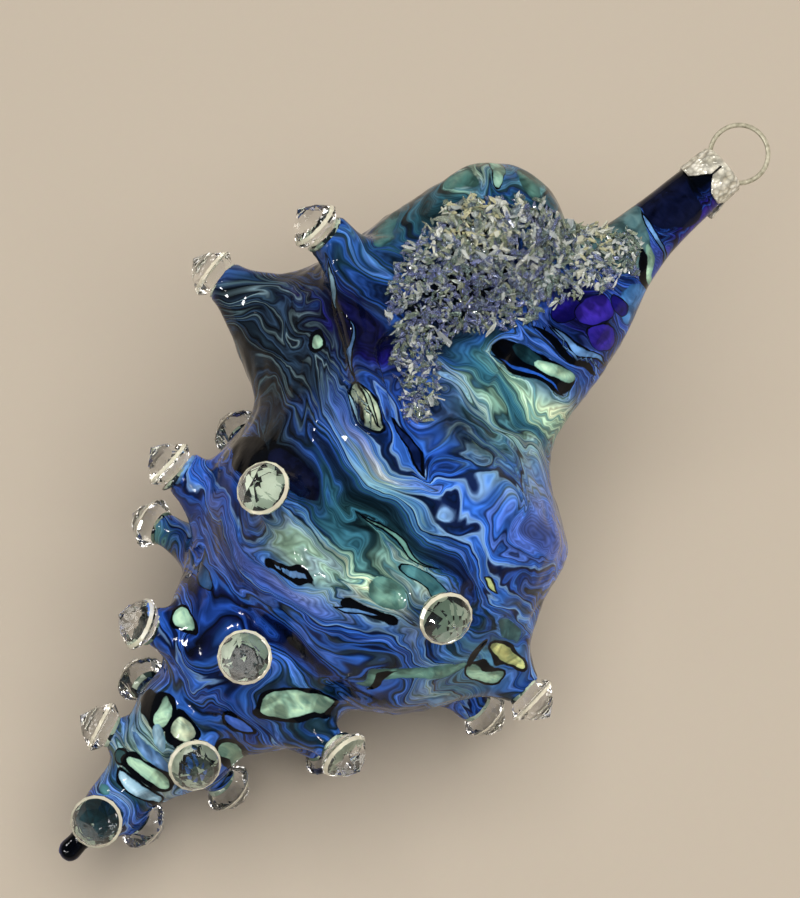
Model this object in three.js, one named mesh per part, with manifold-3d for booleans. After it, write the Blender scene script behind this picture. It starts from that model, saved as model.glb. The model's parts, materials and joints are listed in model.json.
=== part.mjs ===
// A blown-glass tree ornament in the shape of a spiny conch shell.
//
// Millimetres. Every piece is laid out in the shell's own frame: +X runs from the closed spire tip
// to the neck, +Y points towards the flared lip, and +Z out of the side with the aperture. The
// finished ornament lies on a table on three of its stones, so the last step turns the whole shell
// until the culets of those stones lie in one level plane, with the spire towards -X.

import * as THREE from "three";
import { mergeVertices } from "three/addons/utils/BufferGeometryUtils.js";
import Module from "manifold-3d";

const wasm = await Module();
wasm.setup();

// ---- driving dimensions -------------------------------------------------------------------------

const WALL = 1.0; // thickness of the blown glass
const GAP = 0.3; // air between pieces that touch
const RIM = 148.0; // station of the open end of the neck, from the spire tip
const BORE_RUN = 2; // how far the cavity is carried past the rim, to open it

// Half-section of the body: [station, radius], closed at the spire tip.
const BODY_PROFILE = [
  [0, 0.0], [0.5, 1.25], [1.8, 1.75], [3.6, 1.65], [5.5, 2.1], [8.5, 3.1], [12, 4.3], [15.3, 4.9],
  [18, 5.6], [22, 7.2], [27, 9.2], [31, 10.1], [35.5, 12.3], [40, 15.0], [44, 16.4], [47.5, 17.1],
  [52, 20.4], [57, 24.3], [63, 26.4], [70, 26.7], [78, 26.4], [85, 25.5], [89.5, 23.8],
  [92.5, 19.6], [95.5, 15.4], [100, 11.9], [107, 10.3], [115, 9.5], [121, 8.4], [126, 7.0],
  [130, 5.8], [135, 4.8], [140, 4.35], [144, 4.1], [RIM, 3.7],
];

// How far the middle of the section stands off the X axis, towards the lip: [station, offset].
const BODY_SWAY = [
  [0, 0], [60, 0], [90, 0], [97, 1.1], [107, 1.7], [118, 1.7], [128, 2.2], [135, 1.9],
  [142, 1.3], [RIM, 0.7], [RIM + 10, -0.2],
];

// The lip is one swelling that runs beside the neck, from the body whorl to a round nose.
const LIP = {
  from: new THREE.Vector3(93, 19.4, 0),
  fromRadius: 16.5,
  to: new THREE.Vector3(116.6, 18.8, 0.5),
  toRadius: 12,
};

// The fold that closes the aperture at its shoulder end.
const FOLD = {
  from: new THREE.Vector3(96.5, 31, 10),
  fromRadius: 3.6,
  to: new THREE.Vector3(86, 12, 19.8),
  toRadius: 3.4,
};

// Back-pointed stones, glued on by their flat tables.
const STONE = {
  table: 2.75, // radius
  girdle: 4.15,
  crown: 1.5, // heights above the table
  band: 0.35,
  knee: 2.35, // radius where the pavilion's two tiers of facets meet
  kneeHeight: 4.05,
  height: 5.6,
  facets: 8,
};

// One drawn-out spine for each stone. station is where it leaves the body's middle line, around is
// the angle about the X axis (0 at +Z, 90 at +Y), reach is how far its tip stands off the middle
// line, lean tips it towards +X in degrees, root is its radius where it leaves the wall and tip
// its radius under the stone.
const SPINES = [
  { stone: "tip_1", station: 9.4, around: 2, reach: 3.9, lean: -5, root: 3.0, tip: 2.4 },
  { stone: "tip_2", station: 12.0, around: -128, reach: 5.0, lean: 0, root: 3.2, tip: 2.4 },
  { stone: "spire_1", station: 22.3, around: 88, reach: 7.9, lean: -17, root: 4.2, tip: 2.6 },
  { stone: "spire_2", station: 26.5, around: -21, reach: 10.7, lean: 0, root: 4.8, tip: 2.6 },
  { stone: "spire_3", station: 25.3, around: -118, reach: 10.9, lean: 0, root: 4.6, tip: 2.5 },
  { stone: "spire_4", station: 27.8, around: 130, reach: 12.0, lean: 0, root: 4.6, tip: 2.5 },
  { stone: "waist_1", station: 41.5, around: 60, reach: 17.2, lean: -16, root: 6.0, tip: 2.8 },
  { stone: "waist_2", station: 44.6, around: 4, reach: 19.8, lean: 0, root: 6.2, tip: 2.9 },
  { stone: "waist_3", station: 43.4, around: -61, reach: 20.8, lean: 0, root: 7.0, tip: 2.8 },
  { stone: "waist_4", station: 39.6, around: -123, reach: 20.6, lean: 0, root: 6.4, tip: 2.7 },
  { stone: "waist_5", station: 45.0, around: 175, reach: 21.2, lean: 0, root: 6.2, tip: 2.8 },
  { stone: "shoulder_1", station: 56.2, around: 112, reach: 27.0, lean: -18, root: 7.0, tip: 2.8 },
  { stone: "shoulder_2", station: 57.0, around: 82, reach: 28.9, lean: -1, root: 7.4, tip: 3.6 },
  { stone: "shoulder_3", station: 65.1, around: 28, reach: 33.8, lean: 0, root: 7.6, tip: 3.0 },
  { stone: "shoulder_4", station: 69.9, around: -27, reach: 32.4, lean: 0, root: 7.6, tip: 3.2 },
  { stone: "shoulder_5", station: 69.2, around: -86, reach: 33.7, lean: 0, root: 15.0, tip: 2.6 },
  { stone: "shoulder_6", station: 61.8, around: -108, reach: 32.8, lean: 0, root: 8.0, tip: 2.7 },
  { stone: "shoulder_7", station: 70.0, around: -140, reach: 29.6, lean: 0, root: 7.2, tip: 2.9 },
  { stone: "shoulder_8", station: 66.5, around: 128, reach: 33.2, lean: 0, root: 8.0, tip: 2.8 },
  { stone: "lip_1", station: 86.0, around: 165, reach: 35.4, lean: 0, root: 9.0, tip: 2.9 },
  { stone: "lip_2", station: 88.3, around: 91, reach: 44.8, lean: -7, root: 21.0, tip: 3.2 },
  { stone: "lip_3", station: 99.3, around: 70, reach: 38.4, lean: -1, root: 11.0, tip: 3.4 },
];
const FEET = ["waist_5", "shoulder_7", "lip_1"]; // the stones that the ornament rests on
const ROOT_DEPTH = 5; // how far a spine's widest end lies under the wall
const BROAD_ROOT = 10; // from this radius a spine is a tent drawn out of the wall, not a prick
const FLARE = { prick: 2, tent: 1.35 }; // how fast the two kinds narrow from the root
const HOLLOW_ROOT = 7; // spines at least this wide at the root are hollow there

// Crushed glass glued over the aperture: the outline of the patch, as [station, offset], and how
// far it stands off the wall.
const PATCH = {
  outline: [
    [85.5, 8], [87.5, 15], [92, 21], [99, 26.5], [107, 27.5], [115, 24.5], [123, 22.5],
    [126.6, 17], [126, 11.5], [131, 6.5], [133, 2], [127, -0.5], [119, 3.5], [108, 7], [97, 8.5],
  ],
  height: 1.5,
};

// Stamped crown cap and its sprung wire hanger, both in a frame with its origin in the middle of
// the cap's top and +X out of the neck.
const CAP = {
  station: 150.4,
  sheet: 0.35,
  top: 4.2, // radius
  skirt: 4.75,
  depth: 6.4,
  flare: 0.3,
  petals: 4,
  firstSlit: 5, // degrees from the aperture's side towards the lip
  slitStart: 0.9,
  notchStart: 2.9,
  slitHalf: 0.16,
  notchHalf: 2.3,
};
const HANGER = {
  wire: 0.35, // radius
  loop: 4.55, // radius of the loop's middle line
  neck: 3.4, // half the gap between the legs where they pass the cap's top
  leg: 2.0, // the same, inside the bore
  legEnd: -11,
};

const FINISH = {
  glass: { color: "#2f4f9a", roughness: 0.12, metalness: 0.1 },
  stone: { color: "#e6e8ea", roughness: 0.03, metalness: 0 },
  frit: { color: "#b4b7bd", roughness: 0.3, metalness: 0 },
  cap: { color: "#cfcdc2", roughness: 0.35, metalness: 1 },
  wire: { color: "#a9a79b", roughness: 0.3, metalness: 1 },
};

// ---- helpers ------------------------------------------------------------------------------------

const ALONG = new THREE.Vector3(1, 0, 0);
const OUT = new THREE.Vector3(0, 0, 1);

/** A closed geometry as a manifold solid. */
function solidOf(geometry) {
  geometry.deleteAttribute("normal");
  geometry.deleteAttribute("uv");
  const merged = mergeVertices(geometry, 1e-4);
  return new wasm.Manifold(
    new wasm.Mesh({
      numProp: 3,
      vertProperties: merged.attributes.position.array,
      triVerts: new Uint32Array(merged.index.array),
    }),
  );
}

/** A manifold solid as a geometry with flat faces. */
function geometryOf(solid) {
  const { vertProperties, triVerts } = solid.getMesh();
  const geometry = new THREE.BufferGeometry()
    .setAttribute("position", new THREE.BufferAttribute(vertProperties, 3))
    .setIndex(new THREE.BufferAttribute(triVerts, 1));
  geometry.computeVertexNormals();
  return geometry;
}

/** Turns a half-section, given as [height, radius] from bottom to top, about the +Y axis. */
function turned(section, sides) {
  return new THREE.LatheGeometry(
    section.map(([height, radius]) => new THREE.Vector2(radius, height)),
    sides,
  );
}

/** Stands a shape made about +Y at foot, pointing along direction. */
function stoodAt(geometry, foot, direction) {
  const turn = new THREE.Quaternion().setFromUnitVectors(new THREE.Vector3(0, 1, 0), direction);
  return geometry.applyQuaternion(turn).translate(foot.x, foot.y, foot.z);
}

/** The curve through a list of [station, value] pairs. */
function curveThrough(pairs) {
  return new THREE.SplineCurve(pairs.map(([station, value]) => new THREE.Vector2(station, value)));
}

/** The value of such a list at one station, by straight lines between its pairs. */
function valueAt(pairs, station) {
  const next = pairs.findIndex(([s]) => s >= station);
  if (next <= 0) return pairs.at(next)[1];
  const [s0, v0] = pairs[next - 1];
  const [s1, v1] = pairs[next];
  return THREE.MathUtils.mapLinear(station, s0, s1, v0, v1);
}

/** The middle of the body's section at a station. */
function middleAt(station) {
  return new THREE.Vector3(station, valueAt(BODY_SWAY, station), 0);
}

// ---- the glass ----------------------------------------------------------------------------------

/** The turned body, grown outwards by grow, from the tip to the station end. */
function bodyForm(grow, steps, sides, end) {
  const curve = curveThrough(BODY_PROFILE);
  const section = curve.getPoints(steps).map((p) => [p.x, Math.max(p.y + grow, 0)]);
  const inside = section.filter(([, radius]) => radius > 0);
  const first = [inside[0][0] - Math.max(grow, 0.05), 0];
  const last = inside.at(-1);
  const closed = [first, ...inside, [end, last[1]], [end, 0]];
  const form = turned(closed, sides).rotateZ(-Math.PI / 2);
  const at = form.attributes.position;
  for (let i = 0; i < at.count; i++) at.setY(i, at.getY(i) + valueAt(BODY_SWAY, Math.max(at.getX(i), 0)));
  return solidOf(form);
}

/** A ball at each end and the cone that wraps both, grown outwards by grow. */
function roundCone({ from, fromRadius, to, toRadius }, grow, rings, sides) {
  const span = to.clone().sub(from);
  const length = span.length();
  const tilt = Math.asin((fromRadius - toRadius) / length); // where the cone leaves each ball
  const arc = (centre, radius, a0, a1) =>
    Array.from({ length: rings + 1 }, (_, i) => {
      const a = THREE.MathUtils.lerp(a0, a1, i / rings);
      return [centre + radius * Math.sin(a), radius * Math.cos(a)];
    });
  const section = [
    ...arc(0, fromRadius + grow, -Math.PI / 2, tilt),
    ...arc(length, toRadius + grow, tilt, Math.PI / 2),
  ];
  section[0][1] = 0;
  section.at(-1)[1] = 0;
  return solidOf(stoodAt(turned(section, sides), from, span.normalize()));
}

/** Where a spine starts, where it points and how far its tip is. */
function spineLine({ station, around, reach, lean }) {
  const foot = middleAt(station);
  const angle = THREE.MathUtils.degToRad(around);
  const tilt = THREE.MathUtils.degToRad(lean);
  const direction = new THREE.Vector3(
    Math.sin(tilt),
    Math.sin(angle) * Math.cos(tilt),
    Math.cos(angle) * Math.cos(tilt),
  );
  return { foot, direction, length: reach / Math.cos(tilt) };
}

/** A spine: a cone with hollow flanks that ends in a flat seat for its stone. */
function spineForm(spine, grow, rings, sides) {
  const { foot, direction, length } = spineLine(spine);
  const wall = valueAt(BODY_PROFILE, spine.station);
  const start = Math.max(Math.min(wall, length) - ROOT_DEPTH, 0);
  const flare = spine.root < BROAD_ROOT ? FLARE.prick : FLARE.tent;
  const section = [[start, 0]];
  for (let i = 0; i <= rings; i++) {
    const t = i / rings;
    const radius = spine.tip + (spine.root - spine.tip) * (1 - t) ** flare + grow;
    section.push([THREE.MathUtils.lerp(start, length + Math.min(grow, 0) * 2, t), radius]);
  }
  section.push([length + Math.min(grow, 0) * 2, 0]);
  return solidOf(stoodAt(turned(section, sides), foot, direction));
}

/** The whole outer skin, grown outwards by grow. */
function outerForm(grow, spines, end = RIM) {
  const forms = [
    bodyForm(grow, 42, 28, end),
    roundCone(LIP, grow, 5, 18),
    roundCone(FOLD, grow, 3, 10),
    ...spines.map((spine) => spineForm(spine, grow, 4, spine.root < BROAD_ROOT ? 8 : 16)),
  ];
  return forms.reduce((whole, form) => whole.add(form));
}

/** The cavity that blowing leaves, open through the neck. */
function cavityForm() {
  const hollow = SPINES.filter((spine) => spine.root >= HOLLOW_ROOT);
  const forms = [
    bodyForm(-WALL, 20, 14, RIM + BORE_RUN),
    roundCone(LIP, -WALL, 3, 10),
    ...hollow.map((spine) => spineForm(spine, -1.8 * WALL, 2, 6)),
  ];
  return forms.reduce((whole, form) => whole.add(form));
}

/** The crushed glass: the space between two grown skins, inside the patch's outline. */
function patchForm() {
  const outline = new THREE.CatmullRomCurve3(
    PATCH.outline.map(([station, offset]) => new THREE.Vector3(station, offset, 0)),
    true,
  );
  const shape = new THREE.Shape(outline.getPoints(30).map(({ x, y }) => new THREE.Vector2(x, y)));
  const column = new THREE.ExtrudeGeometry(shape, { depth: 40, bevelEnabled: false });
  const nearby = SPINES.filter(({ stone }) => stone.startsWith("lip"));
  return solidOf(column)
    .intersect(outerForm(PATCH.height, nearby))
    .subtract(outerForm(GAP, nearby));
}

// ---- stones, cap and hanger ---------------------------------------------------------------------

/** One back-pointed stone, its table on the seat and its culet out along +Y. */
function stoneGeometry() {
  const section = [
    [0, 0],
    [0, STONE.table],
    [STONE.crown, STONE.girdle],
    [STONE.crown + STONE.band, STONE.girdle],
    [STONE.kneeHeight, STONE.knee],
    [STONE.height, 0],
  ];
  return turned(section, STONE.facets);
}

/** The stamped cap: a cup whose skirt is slit into petals that stand off the neck. */
function capGeometry() {
  const { sheet, top, skirt, depth } = CAP;
  const section = [
    [-sheet, 0],
    [-sheet, top - sheet],
    [-depth, skirt - sheet],
    [-depth, skirt],
    [0, top],
    [0, 0],
  ];
  let cup = solidOf(turned(section, 48).rotateZ(-Math.PI / 2));
  const slit = new THREE.Shape([
    new THREE.Vector2(-CAP.slitStart, -CAP.slitHalf / 2),
    new THREE.Vector2(-CAP.notchStart, -CAP.slitHalf),
    new THREE.Vector2(-depth - 0.2, -CAP.notchHalf),
    new THREE.Vector2(-depth - 0.2, CAP.notchHalf),
    new THREE.Vector2(-CAP.notchStart, CAP.slitHalf),
    new THREE.Vector2(-CAP.slitStart, CAP.slitHalf / 2),
  ]);
  for (let petal = 0; petal < CAP.petals; petal++) {
    const cutter = new THREE.ExtrudeGeometry(slit, { depth: 2 * skirt, bevelEnabled: false });
    const turn = (2 * Math.PI * petal) / CAP.petals - THREE.MathUtils.degToRad(CAP.firstSlit);
    cutter.rotateX(turn);
    cup = cup.subtract(solidOf(cutter));
  }
  for (const side of [-1, 1]) {
    const hole = new THREE.CylinderGeometry(HANGER.wire + GAP + 0.1, HANGER.wire + GAP + 0.1, 4, 10);
    hole.rotateZ(Math.PI / 2).translate(0, side * HANGER.neck, 0);
    cup = cup.subtract(solidOf(hole));
  }
  const geometry = geometryOf(cup);
  const at = geometry.attributes.position;
  for (let i = 0; i < at.count; i++) {
    const radius = Math.hypot(at.getY(i), at.getZ(i));
    const down = THREE.MathUtils.clamp(-at.getX(i) / depth, 0, 1);
    const swell = radius > 1 ? 1 + (CAP.flare * down ** 4) / radius : 1;
    at.setY(i, at.getY(i) * swell);
    at.setZ(i, at.getZ(i) * swell);
  }
  return geometry;
}

/** The wire: a round loop above the cap whose two legs go down inside the neck. */
function hangerGeometry() {
  const { wire, loop, neck, leg, legEnd } = HANGER;
  const middle = Math.sqrt(loop ** 2 - neck ** 2); // height of the loop's centre over the cap
  const half = Math.PI - Math.asin(neck / loop);
  const points = [
    [legEnd, -leg], [-6, -leg], [-2.2, -leg], [-1.1, -leg - 0.75],
  ];
  const turns = 12;
  for (let i = 0; i <= turns; i++) {
    const a = THREE.MathUtils.lerp(-half, half, i / turns);
    points.push([middle + loop * Math.cos(a), loop * Math.sin(a)]);
  }
  points.push([-1.1, leg + 0.75], [-2.2, leg], [-6, leg], [legEnd, leg]);
  const path = new THREE.CatmullRomCurve3(
    points.map(([x, y]) => new THREE.Vector3(x, y, 0)),
    false,
    "centripetal",
  );
  const ring = new THREE.Shape().absarc(0, 0, wire, 0, 2 * Math.PI);
  return new THREE.ExtrudeGeometry(ring, { steps: 44, extrudePath: path, curveSegments: 4 });
}

// ---- assembly -----------------------------------------------------------------------------------

/** A named mesh with one of the finishes. */
function piece(name, geometry, finish) {
  const mesh = new THREE.Mesh(geometry, new THREE.MeshStandardMaterial({ ...finish, flatShading: true }));
  mesh.name = name;
  return mesh;
}

/** Stands a mesh made about +Y on the end of a spine. */
function seat(mesh, spine) {
  const { foot, direction, length } = spineLine(spine);
  mesh.position.copy(foot).addScaledVector(direction, length + GAP);
  mesh.quaternion.setFromUnitVectors(new THREE.Vector3(0, 1, 0), direction);
  return mesh;
}

/** Where a stone's culet comes. */
function culetOf(spine) {
  const { foot, direction, length } = spineLine(spine);
  return foot.clone().addScaledVector(direction, length + GAP + STONE.height);
}

const shell = new THREE.Group();
shell.add(
  piece("glass_shell", geometryOf(outerForm(0, SPINES).subtract(cavityForm())), FINISH.glass),
  piece("crushed_glass", geometryOf(patchForm()), FINISH.frit),
  ...SPINES.map((spine) => seat(piece(`stone_${spine.stone}`, stoneGeometry(), FINISH.stone), spine)),
);

const neckEnd = new THREE.Group();
const rise = middleAt(RIM + 4).sub(middleAt(RIM - 6));
neckEnd.position.copy(middleAt(CAP.station));
neckEnd.rotation.z = Math.atan2(rise.y, rise.x);
neckEnd.add(
  piece("ornament_cap", capGeometry(), FINISH.cap),
  piece("hanger_loop", hangerGeometry(), FINISH.wire),
);
shell.add(neckEnd);

// Lay the shell down: level the plane through the feet, and keep the spire towards -X.
const [footA, footB, footC] = FEET.map((name) => culetOf(SPINES.find(({ stone }) => stone === name)));
const up = footB.clone().sub(footA).cross(footC.clone().sub(footA)).normalize();
if (up.dot(OUT) < 0) up.negate();
const forward = ALONG.clone().addScaledVector(up, -up.x).normalize();
const sideways = up.clone().cross(forward);
shell.quaternion.setFromRotationMatrix(new THREE.Matrix4().makeBasis(forward, sideways, up).invert());

const ornament = new THREE.Group();
ornament.add(shell);
const box = new THREE.Box3().setFromObject(ornament, true);
const centre = box.getCenter(new THREE.Vector3());
shell.position.set(-centre.x, -centre.y, -box.min.z);

export default ornament;
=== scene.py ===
"""A blown-glass tree ornament in the shape of a spiny conch shell, lying on a pale table.

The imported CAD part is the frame. Its glass, stones, cap, wire and crushed glass are replaced here
by finer pieces in the same places. Shapes are worked out in the shell's own frame, in millimetres:
+a runs from the closed spire to the neck, +b towards the flared lip, and +w out of the side with
the crushed glass. The stones of the CAD part say how that frame lies in the row's frame.
"""

from __future__ import annotations

import json
import logging
import math
from dataclasses import dataclass, field, replace
from enum import Enum
from typing import Any, Sequence

import bmesh
import bpy
import numpy as np
from mathutils import Matrix, Quaternion, Vector

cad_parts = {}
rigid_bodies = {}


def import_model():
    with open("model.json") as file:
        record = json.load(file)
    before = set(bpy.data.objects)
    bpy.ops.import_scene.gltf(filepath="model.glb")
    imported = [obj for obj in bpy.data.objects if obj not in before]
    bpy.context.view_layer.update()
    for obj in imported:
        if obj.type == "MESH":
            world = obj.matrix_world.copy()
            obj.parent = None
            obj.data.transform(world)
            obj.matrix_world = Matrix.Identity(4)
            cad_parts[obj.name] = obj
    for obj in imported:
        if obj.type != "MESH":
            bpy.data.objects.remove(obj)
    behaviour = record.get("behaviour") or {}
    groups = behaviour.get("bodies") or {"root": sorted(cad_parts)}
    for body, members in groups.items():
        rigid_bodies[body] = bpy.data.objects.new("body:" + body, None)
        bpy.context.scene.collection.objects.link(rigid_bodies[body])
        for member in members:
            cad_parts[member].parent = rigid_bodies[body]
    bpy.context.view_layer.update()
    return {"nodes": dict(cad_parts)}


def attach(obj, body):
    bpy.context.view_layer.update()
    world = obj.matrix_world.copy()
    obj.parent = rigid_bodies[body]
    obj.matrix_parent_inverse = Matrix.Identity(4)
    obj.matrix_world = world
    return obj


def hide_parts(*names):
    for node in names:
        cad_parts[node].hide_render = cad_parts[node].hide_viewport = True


LOG = logging.getLogger("ornament")

MM = 0.001
ROOT = "root"
Array = np.ndarray
Linear = tuple[float, float, float, float]
Piece = bpy.types.Object
Spot = tuple[float, float, float]
Pairs = tuple[tuple[float, float], ...]
Ripples = tuple[tuple[int, float, float], ...]  # each ripple's seed, length and height
Stops = tuple[tuple[float, str], ...]  # a colour ramp's positions and sRGB hex colours
FAR = 9.0  # mm from a drop's outline, past which the distance no longer matters
LAYERS = 4  # of drops, one over another
COLOURS = {"out": 2, "data_type": "RGBA"}  # what a mix node needs to mix colours


# ---- colour and node helpers


def linear(hex_colour: str, alpha: float = 1.0) -> Linear:
    """Turns an sRGB hex colour into linear light.

    Args:
        hex_colour: Six hex digits after a hash sign.
        alpha: The fourth channel, which is passed through.

    Returns:
        Red, green, blue and alpha in linear light.
    """
    channels = [int(hex_colour[i : i + 2], 16) / 255 for i in (1, 3, 5)]
    out = [c / 12.92 if c <= 0.04045 else ((c + 0.055) / 1.055) ** 2.4 for c in channels]
    return (out[0], out[1], out[2], alpha)


def add_node(
    tree: bpy.types.NodeTree,
    kind: str,
    inputs: dict[str | int, Any] | None = None,
    out: str | int | None = 0,
    stops: Stops = (),
    **settings: Any,
) -> Any:
    """Adds a node with its settings and links.

    Args:
        tree: The node tree that gets it.
        kind: Blender's name for the node after "ShaderNode", such as "Mix".
        inputs: What goes into each input: a socket is linked, and anything else is its value.
        out: Which output is wanted.
        stops: For a colour ramp, its stops as position and sRGB hex colour.
        **settings: The node's own properties, such as operation="ADD".

    Returns:
        The wanted output, or nothing where out is None.
    """
    node = tree.nodes.new(f"ShaderNode{kind}")
    for name, value in settings.items():
        setattr(node, name, value)
    if stops:
        ramp = node.color_ramp
        while len(ramp.elements) < len(stops):
            ramp.elements.new(0.5)
        for element, (position, colour) in zip(ramp.elements, stops):
            element.position = position
            element.color = linear(colour)
    for key, value in (inputs or {}).items():
        if isinstance(value, bpy.types.NodeSocket):
            tree.links.new(value, node.inputs[key])
        else:
            node.inputs[key].default_value = value
    return None if out is None else node.outputs[out]


def levels(low: float, high: float, start: float, end: float) -> dict[str, float]:
    """The inputs that make a map-range node take low to high onto start to end."""
    return {"From Min": low, "From Max": high, "To Min": start, "To Max": end}


@dataclass
class Recipe:
    """A material being mixed: its node tree and its Principled shader."""

    name: str

    def __post_init__(self) -> None:
        """Makes the material with a Principled shader wired to its output."""
        self.material = bpy.data.materials.new(self.name)
        self.material.use_nodes = True
        self.tree = self.material.node_tree
        self.tree.nodes.clear()
        surface = self.add("BsdfPrincipled")
        self.shader = surface.node
        self.add("OutputMaterial", {"Surface": surface}, out=None)

    def add(self, *request: Any, **settings: Any) -> Any:
        """Adds a node to the material, asked for as add_node's arguments after the tree."""
        return add_node(self.tree, *request, **settings)

    def feed(self, **inputs: Any) -> None:
        """Sets or links inputs of the Principled shader, with _ for each space in a name."""
        for key, value in inputs.items():
            socket = self.shader.inputs[key.replace("_", " ")]
            if isinstance(value, bpy.types.NodeSocket):
                self.tree.links.new(value, socket)
            else:
                socket.default_value = value


def mesh_object(
    name: str, vertices: Array, faces: Sequence[Sequence[int]] | Array, smooth: bool
) -> Piece:
    """Makes a mesh object and links it to the scene.

    Args:
        name: The piece's name.
        vertices: One row of x, y and z for each vertex, in metres.
        faces: The vertices of each face.
        smooth: Whether the faces are shaded smooth.

    Returns:
        The new object.
    """
    mesh = bpy.data.meshes.new(name)
    rows = vertices.tolist() if isinstance(vertices, np.ndarray) else vertices
    mesh.from_pydata(rows, [], faces.tolist() if isinstance(faces, np.ndarray) else faces)
    mesh.polygons.foreach_set("use_smooth", [smooth] * len(mesh.polygons))
    mesh.update()
    piece = bpy.data.objects.new(name, mesh)
    bpy.context.scene.collection.objects.link(piece)
    return piece


def carry(piece: Piece, values: dict[str, Array]) -> None:
    """Writes values to a piece's vertices, for its material to read.

    Args:
        piece: The piece.
        values: By attribute name, one number, place (3 columns) or colour (4 columns) a vertex.
    """
    kinds = {1: ("FLOAT", "value"), 3: ("FLOAT_VECTOR", "vector"), 4: ("FLOAT_COLOR", "color")}
    for name, rows in values.items():
        kind, part = kinds[rows.size // len(rows)]
        layer = piece.data.attributes.new(name, kind, "POINT")
        layer.data.foreach_set(part, rows.astype(np.float32).ravel())


def face_out(piece: Piece, weld: float = 0.0) -> None:
    """Turns every face of a piece outwards.

    Args:
        piece: The piece.
        weld: How near two vertices are, in metres, to be joined first.
    """
    shape = bmesh.new()
    shape.from_mesh(piece.data)
    if weld:
        bmesh.ops.remove_doubles(shape, verts=shape.verts, dist=weld)
    bmesh.ops.recalc_face_normals(shape, faces=shape.faces)
    shape.to_mesh(piece.data)
    shape.free()


def tube_faces(rings: int, sides: int, base: int = 0) -> list[tuple[int, ...]]:
    """Skins a row of rings of vertices, with a flat end on each.

    Args:
        rings: How many rings there are.
        sides: How many vertices each has.
        base: The number of the first vertex.

    Returns:
        The vertices of each face.
    """
    faces: list[tuple[int, ...]] = []
    for row in range(rings - 1):
        for i in range(sides):
            j = (i + 1) % sides
            lo, hi = base + row * sides, base + (row + 1) * sides
            faces.append((lo + i, lo + j, hi + j, hi + i))
    faces.append(tuple(base + i for i in reversed(range(sides))))
    faces.append(tuple(base + (rings - 1) * sides + i for i in range(sides)))
    return faces


def install(piece: Piece, slot: str, nodes: Sequence[str] = ()) -> None:
    """Ties a finished piece to the frame and logs it.

    Args:
        piece: The piece, in place in the row frame.
        slot: The name of the record's material slot for its finish, which is only logged.
        nodes: The CAD nodes that it stands for.
    """
    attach(piece, ROOT)
    if nodes:
        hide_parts(*nodes)
    faces = len(piece.data.polygons)
    LOG.info("%-24s %7d faces  slot %s  for %s", piece.name, faces, slot, ", ".join(nodes) or "-")


# ---- curves, noise and solid forms in the shell's frame


def eased(knots: Sequence[tuple[float, float]], x: Array) -> Array:
    """Draws a curve with no overshoot through a list of points.

    Args:
        knots: The points, as position and value, in rising order of position.
        x: Where the curve is wanted.

    Returns:
        The curve's value at each x, held level past both ends.
    """
    xs, ys = np.array(knots, float).T
    step, rise = np.diff(xs), np.diff(ys)
    secant = rise / step
    slope = np.zeros_like(xs)
    same_way = secant[:-1] * secant[1:] > 0
    w1, w2 = 2 * step[1:] + step[:-1], step[1:] + 2 * step[:-1]
    safe = np.where(same_way, secant[:-1] * secant[1:], 1.0)
    mean = (w1 + w2) * safe / np.where(same_way, w1 * secant[1:] + w2 * secant[:-1], 1.0)
    slope[1:-1] = np.where(same_way, mean, 0.0)
    slope[0], slope[-1] = secant[0], secant[-1]
    i = np.clip(np.searchsorted(xs, x) - 1, 0, len(step) - 1)
    t = np.clip((x - xs[i]) / step[i], 0, 1)
    h00, h10 = (1 + 2 * t) * (1 - t) ** 2, t * (1 - t) ** 2
    h01, h11 = t * t * (3 - 2 * t), t * t * (t - 1)
    return h00 * ys[i] + h10 * step[i] * slope[i] + h01 * ys[i + 1] + h11 * step[i] * slope[i + 1]


def smooth_min(one: Array, two: Array, blend: float) -> Array:
    """Joins two distance fields with a fillet about as wide as blend."""
    h = np.maximum(blend - np.abs(one - two), 0.0) / blend
    return np.minimum(one, two) - h * h * blend / 4


def smooth_max(one: Array, two: Array, blend: float) -> Array:
    """Cuts one distance field with another, with the edge eased by blend."""
    return -smooth_min(-one, -two, blend)


@dataclass(frozen=True)
class Ripple:
    """A smooth random field: a sum of sine waves in random directions.

    Args:
        seed: Picks the waves.
        length: The mean wavelength, in millimetres.
        waves: How many waves are added.
    """

    seed: int
    length: float
    waves: int = 7

    def at(self, a: Array, b: Array, w: Array) -> Array:
        """Works out the field.

        Args:
            a, b, w: Each point's place in the shell's frame.

        Returns:
            Its value at each point, mostly between -1 and 1.
        """
        rng = np.random.default_rng(self.seed)
        total = 0.0
        for _ in range(self.waves):
            way = rng.normal(size=3)
            way /= np.linalg.norm(way)
            k = 2 * math.pi / (self.length * rng.uniform(0.6, 1.6))
            phase = rng.uniform(0, 2 * math.pi)
            ka, kb, kw = k * way
            total = total + np.sin(ka * a + kb * b + kw * w + phase)
        return total / math.sqrt(self.waves)


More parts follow.
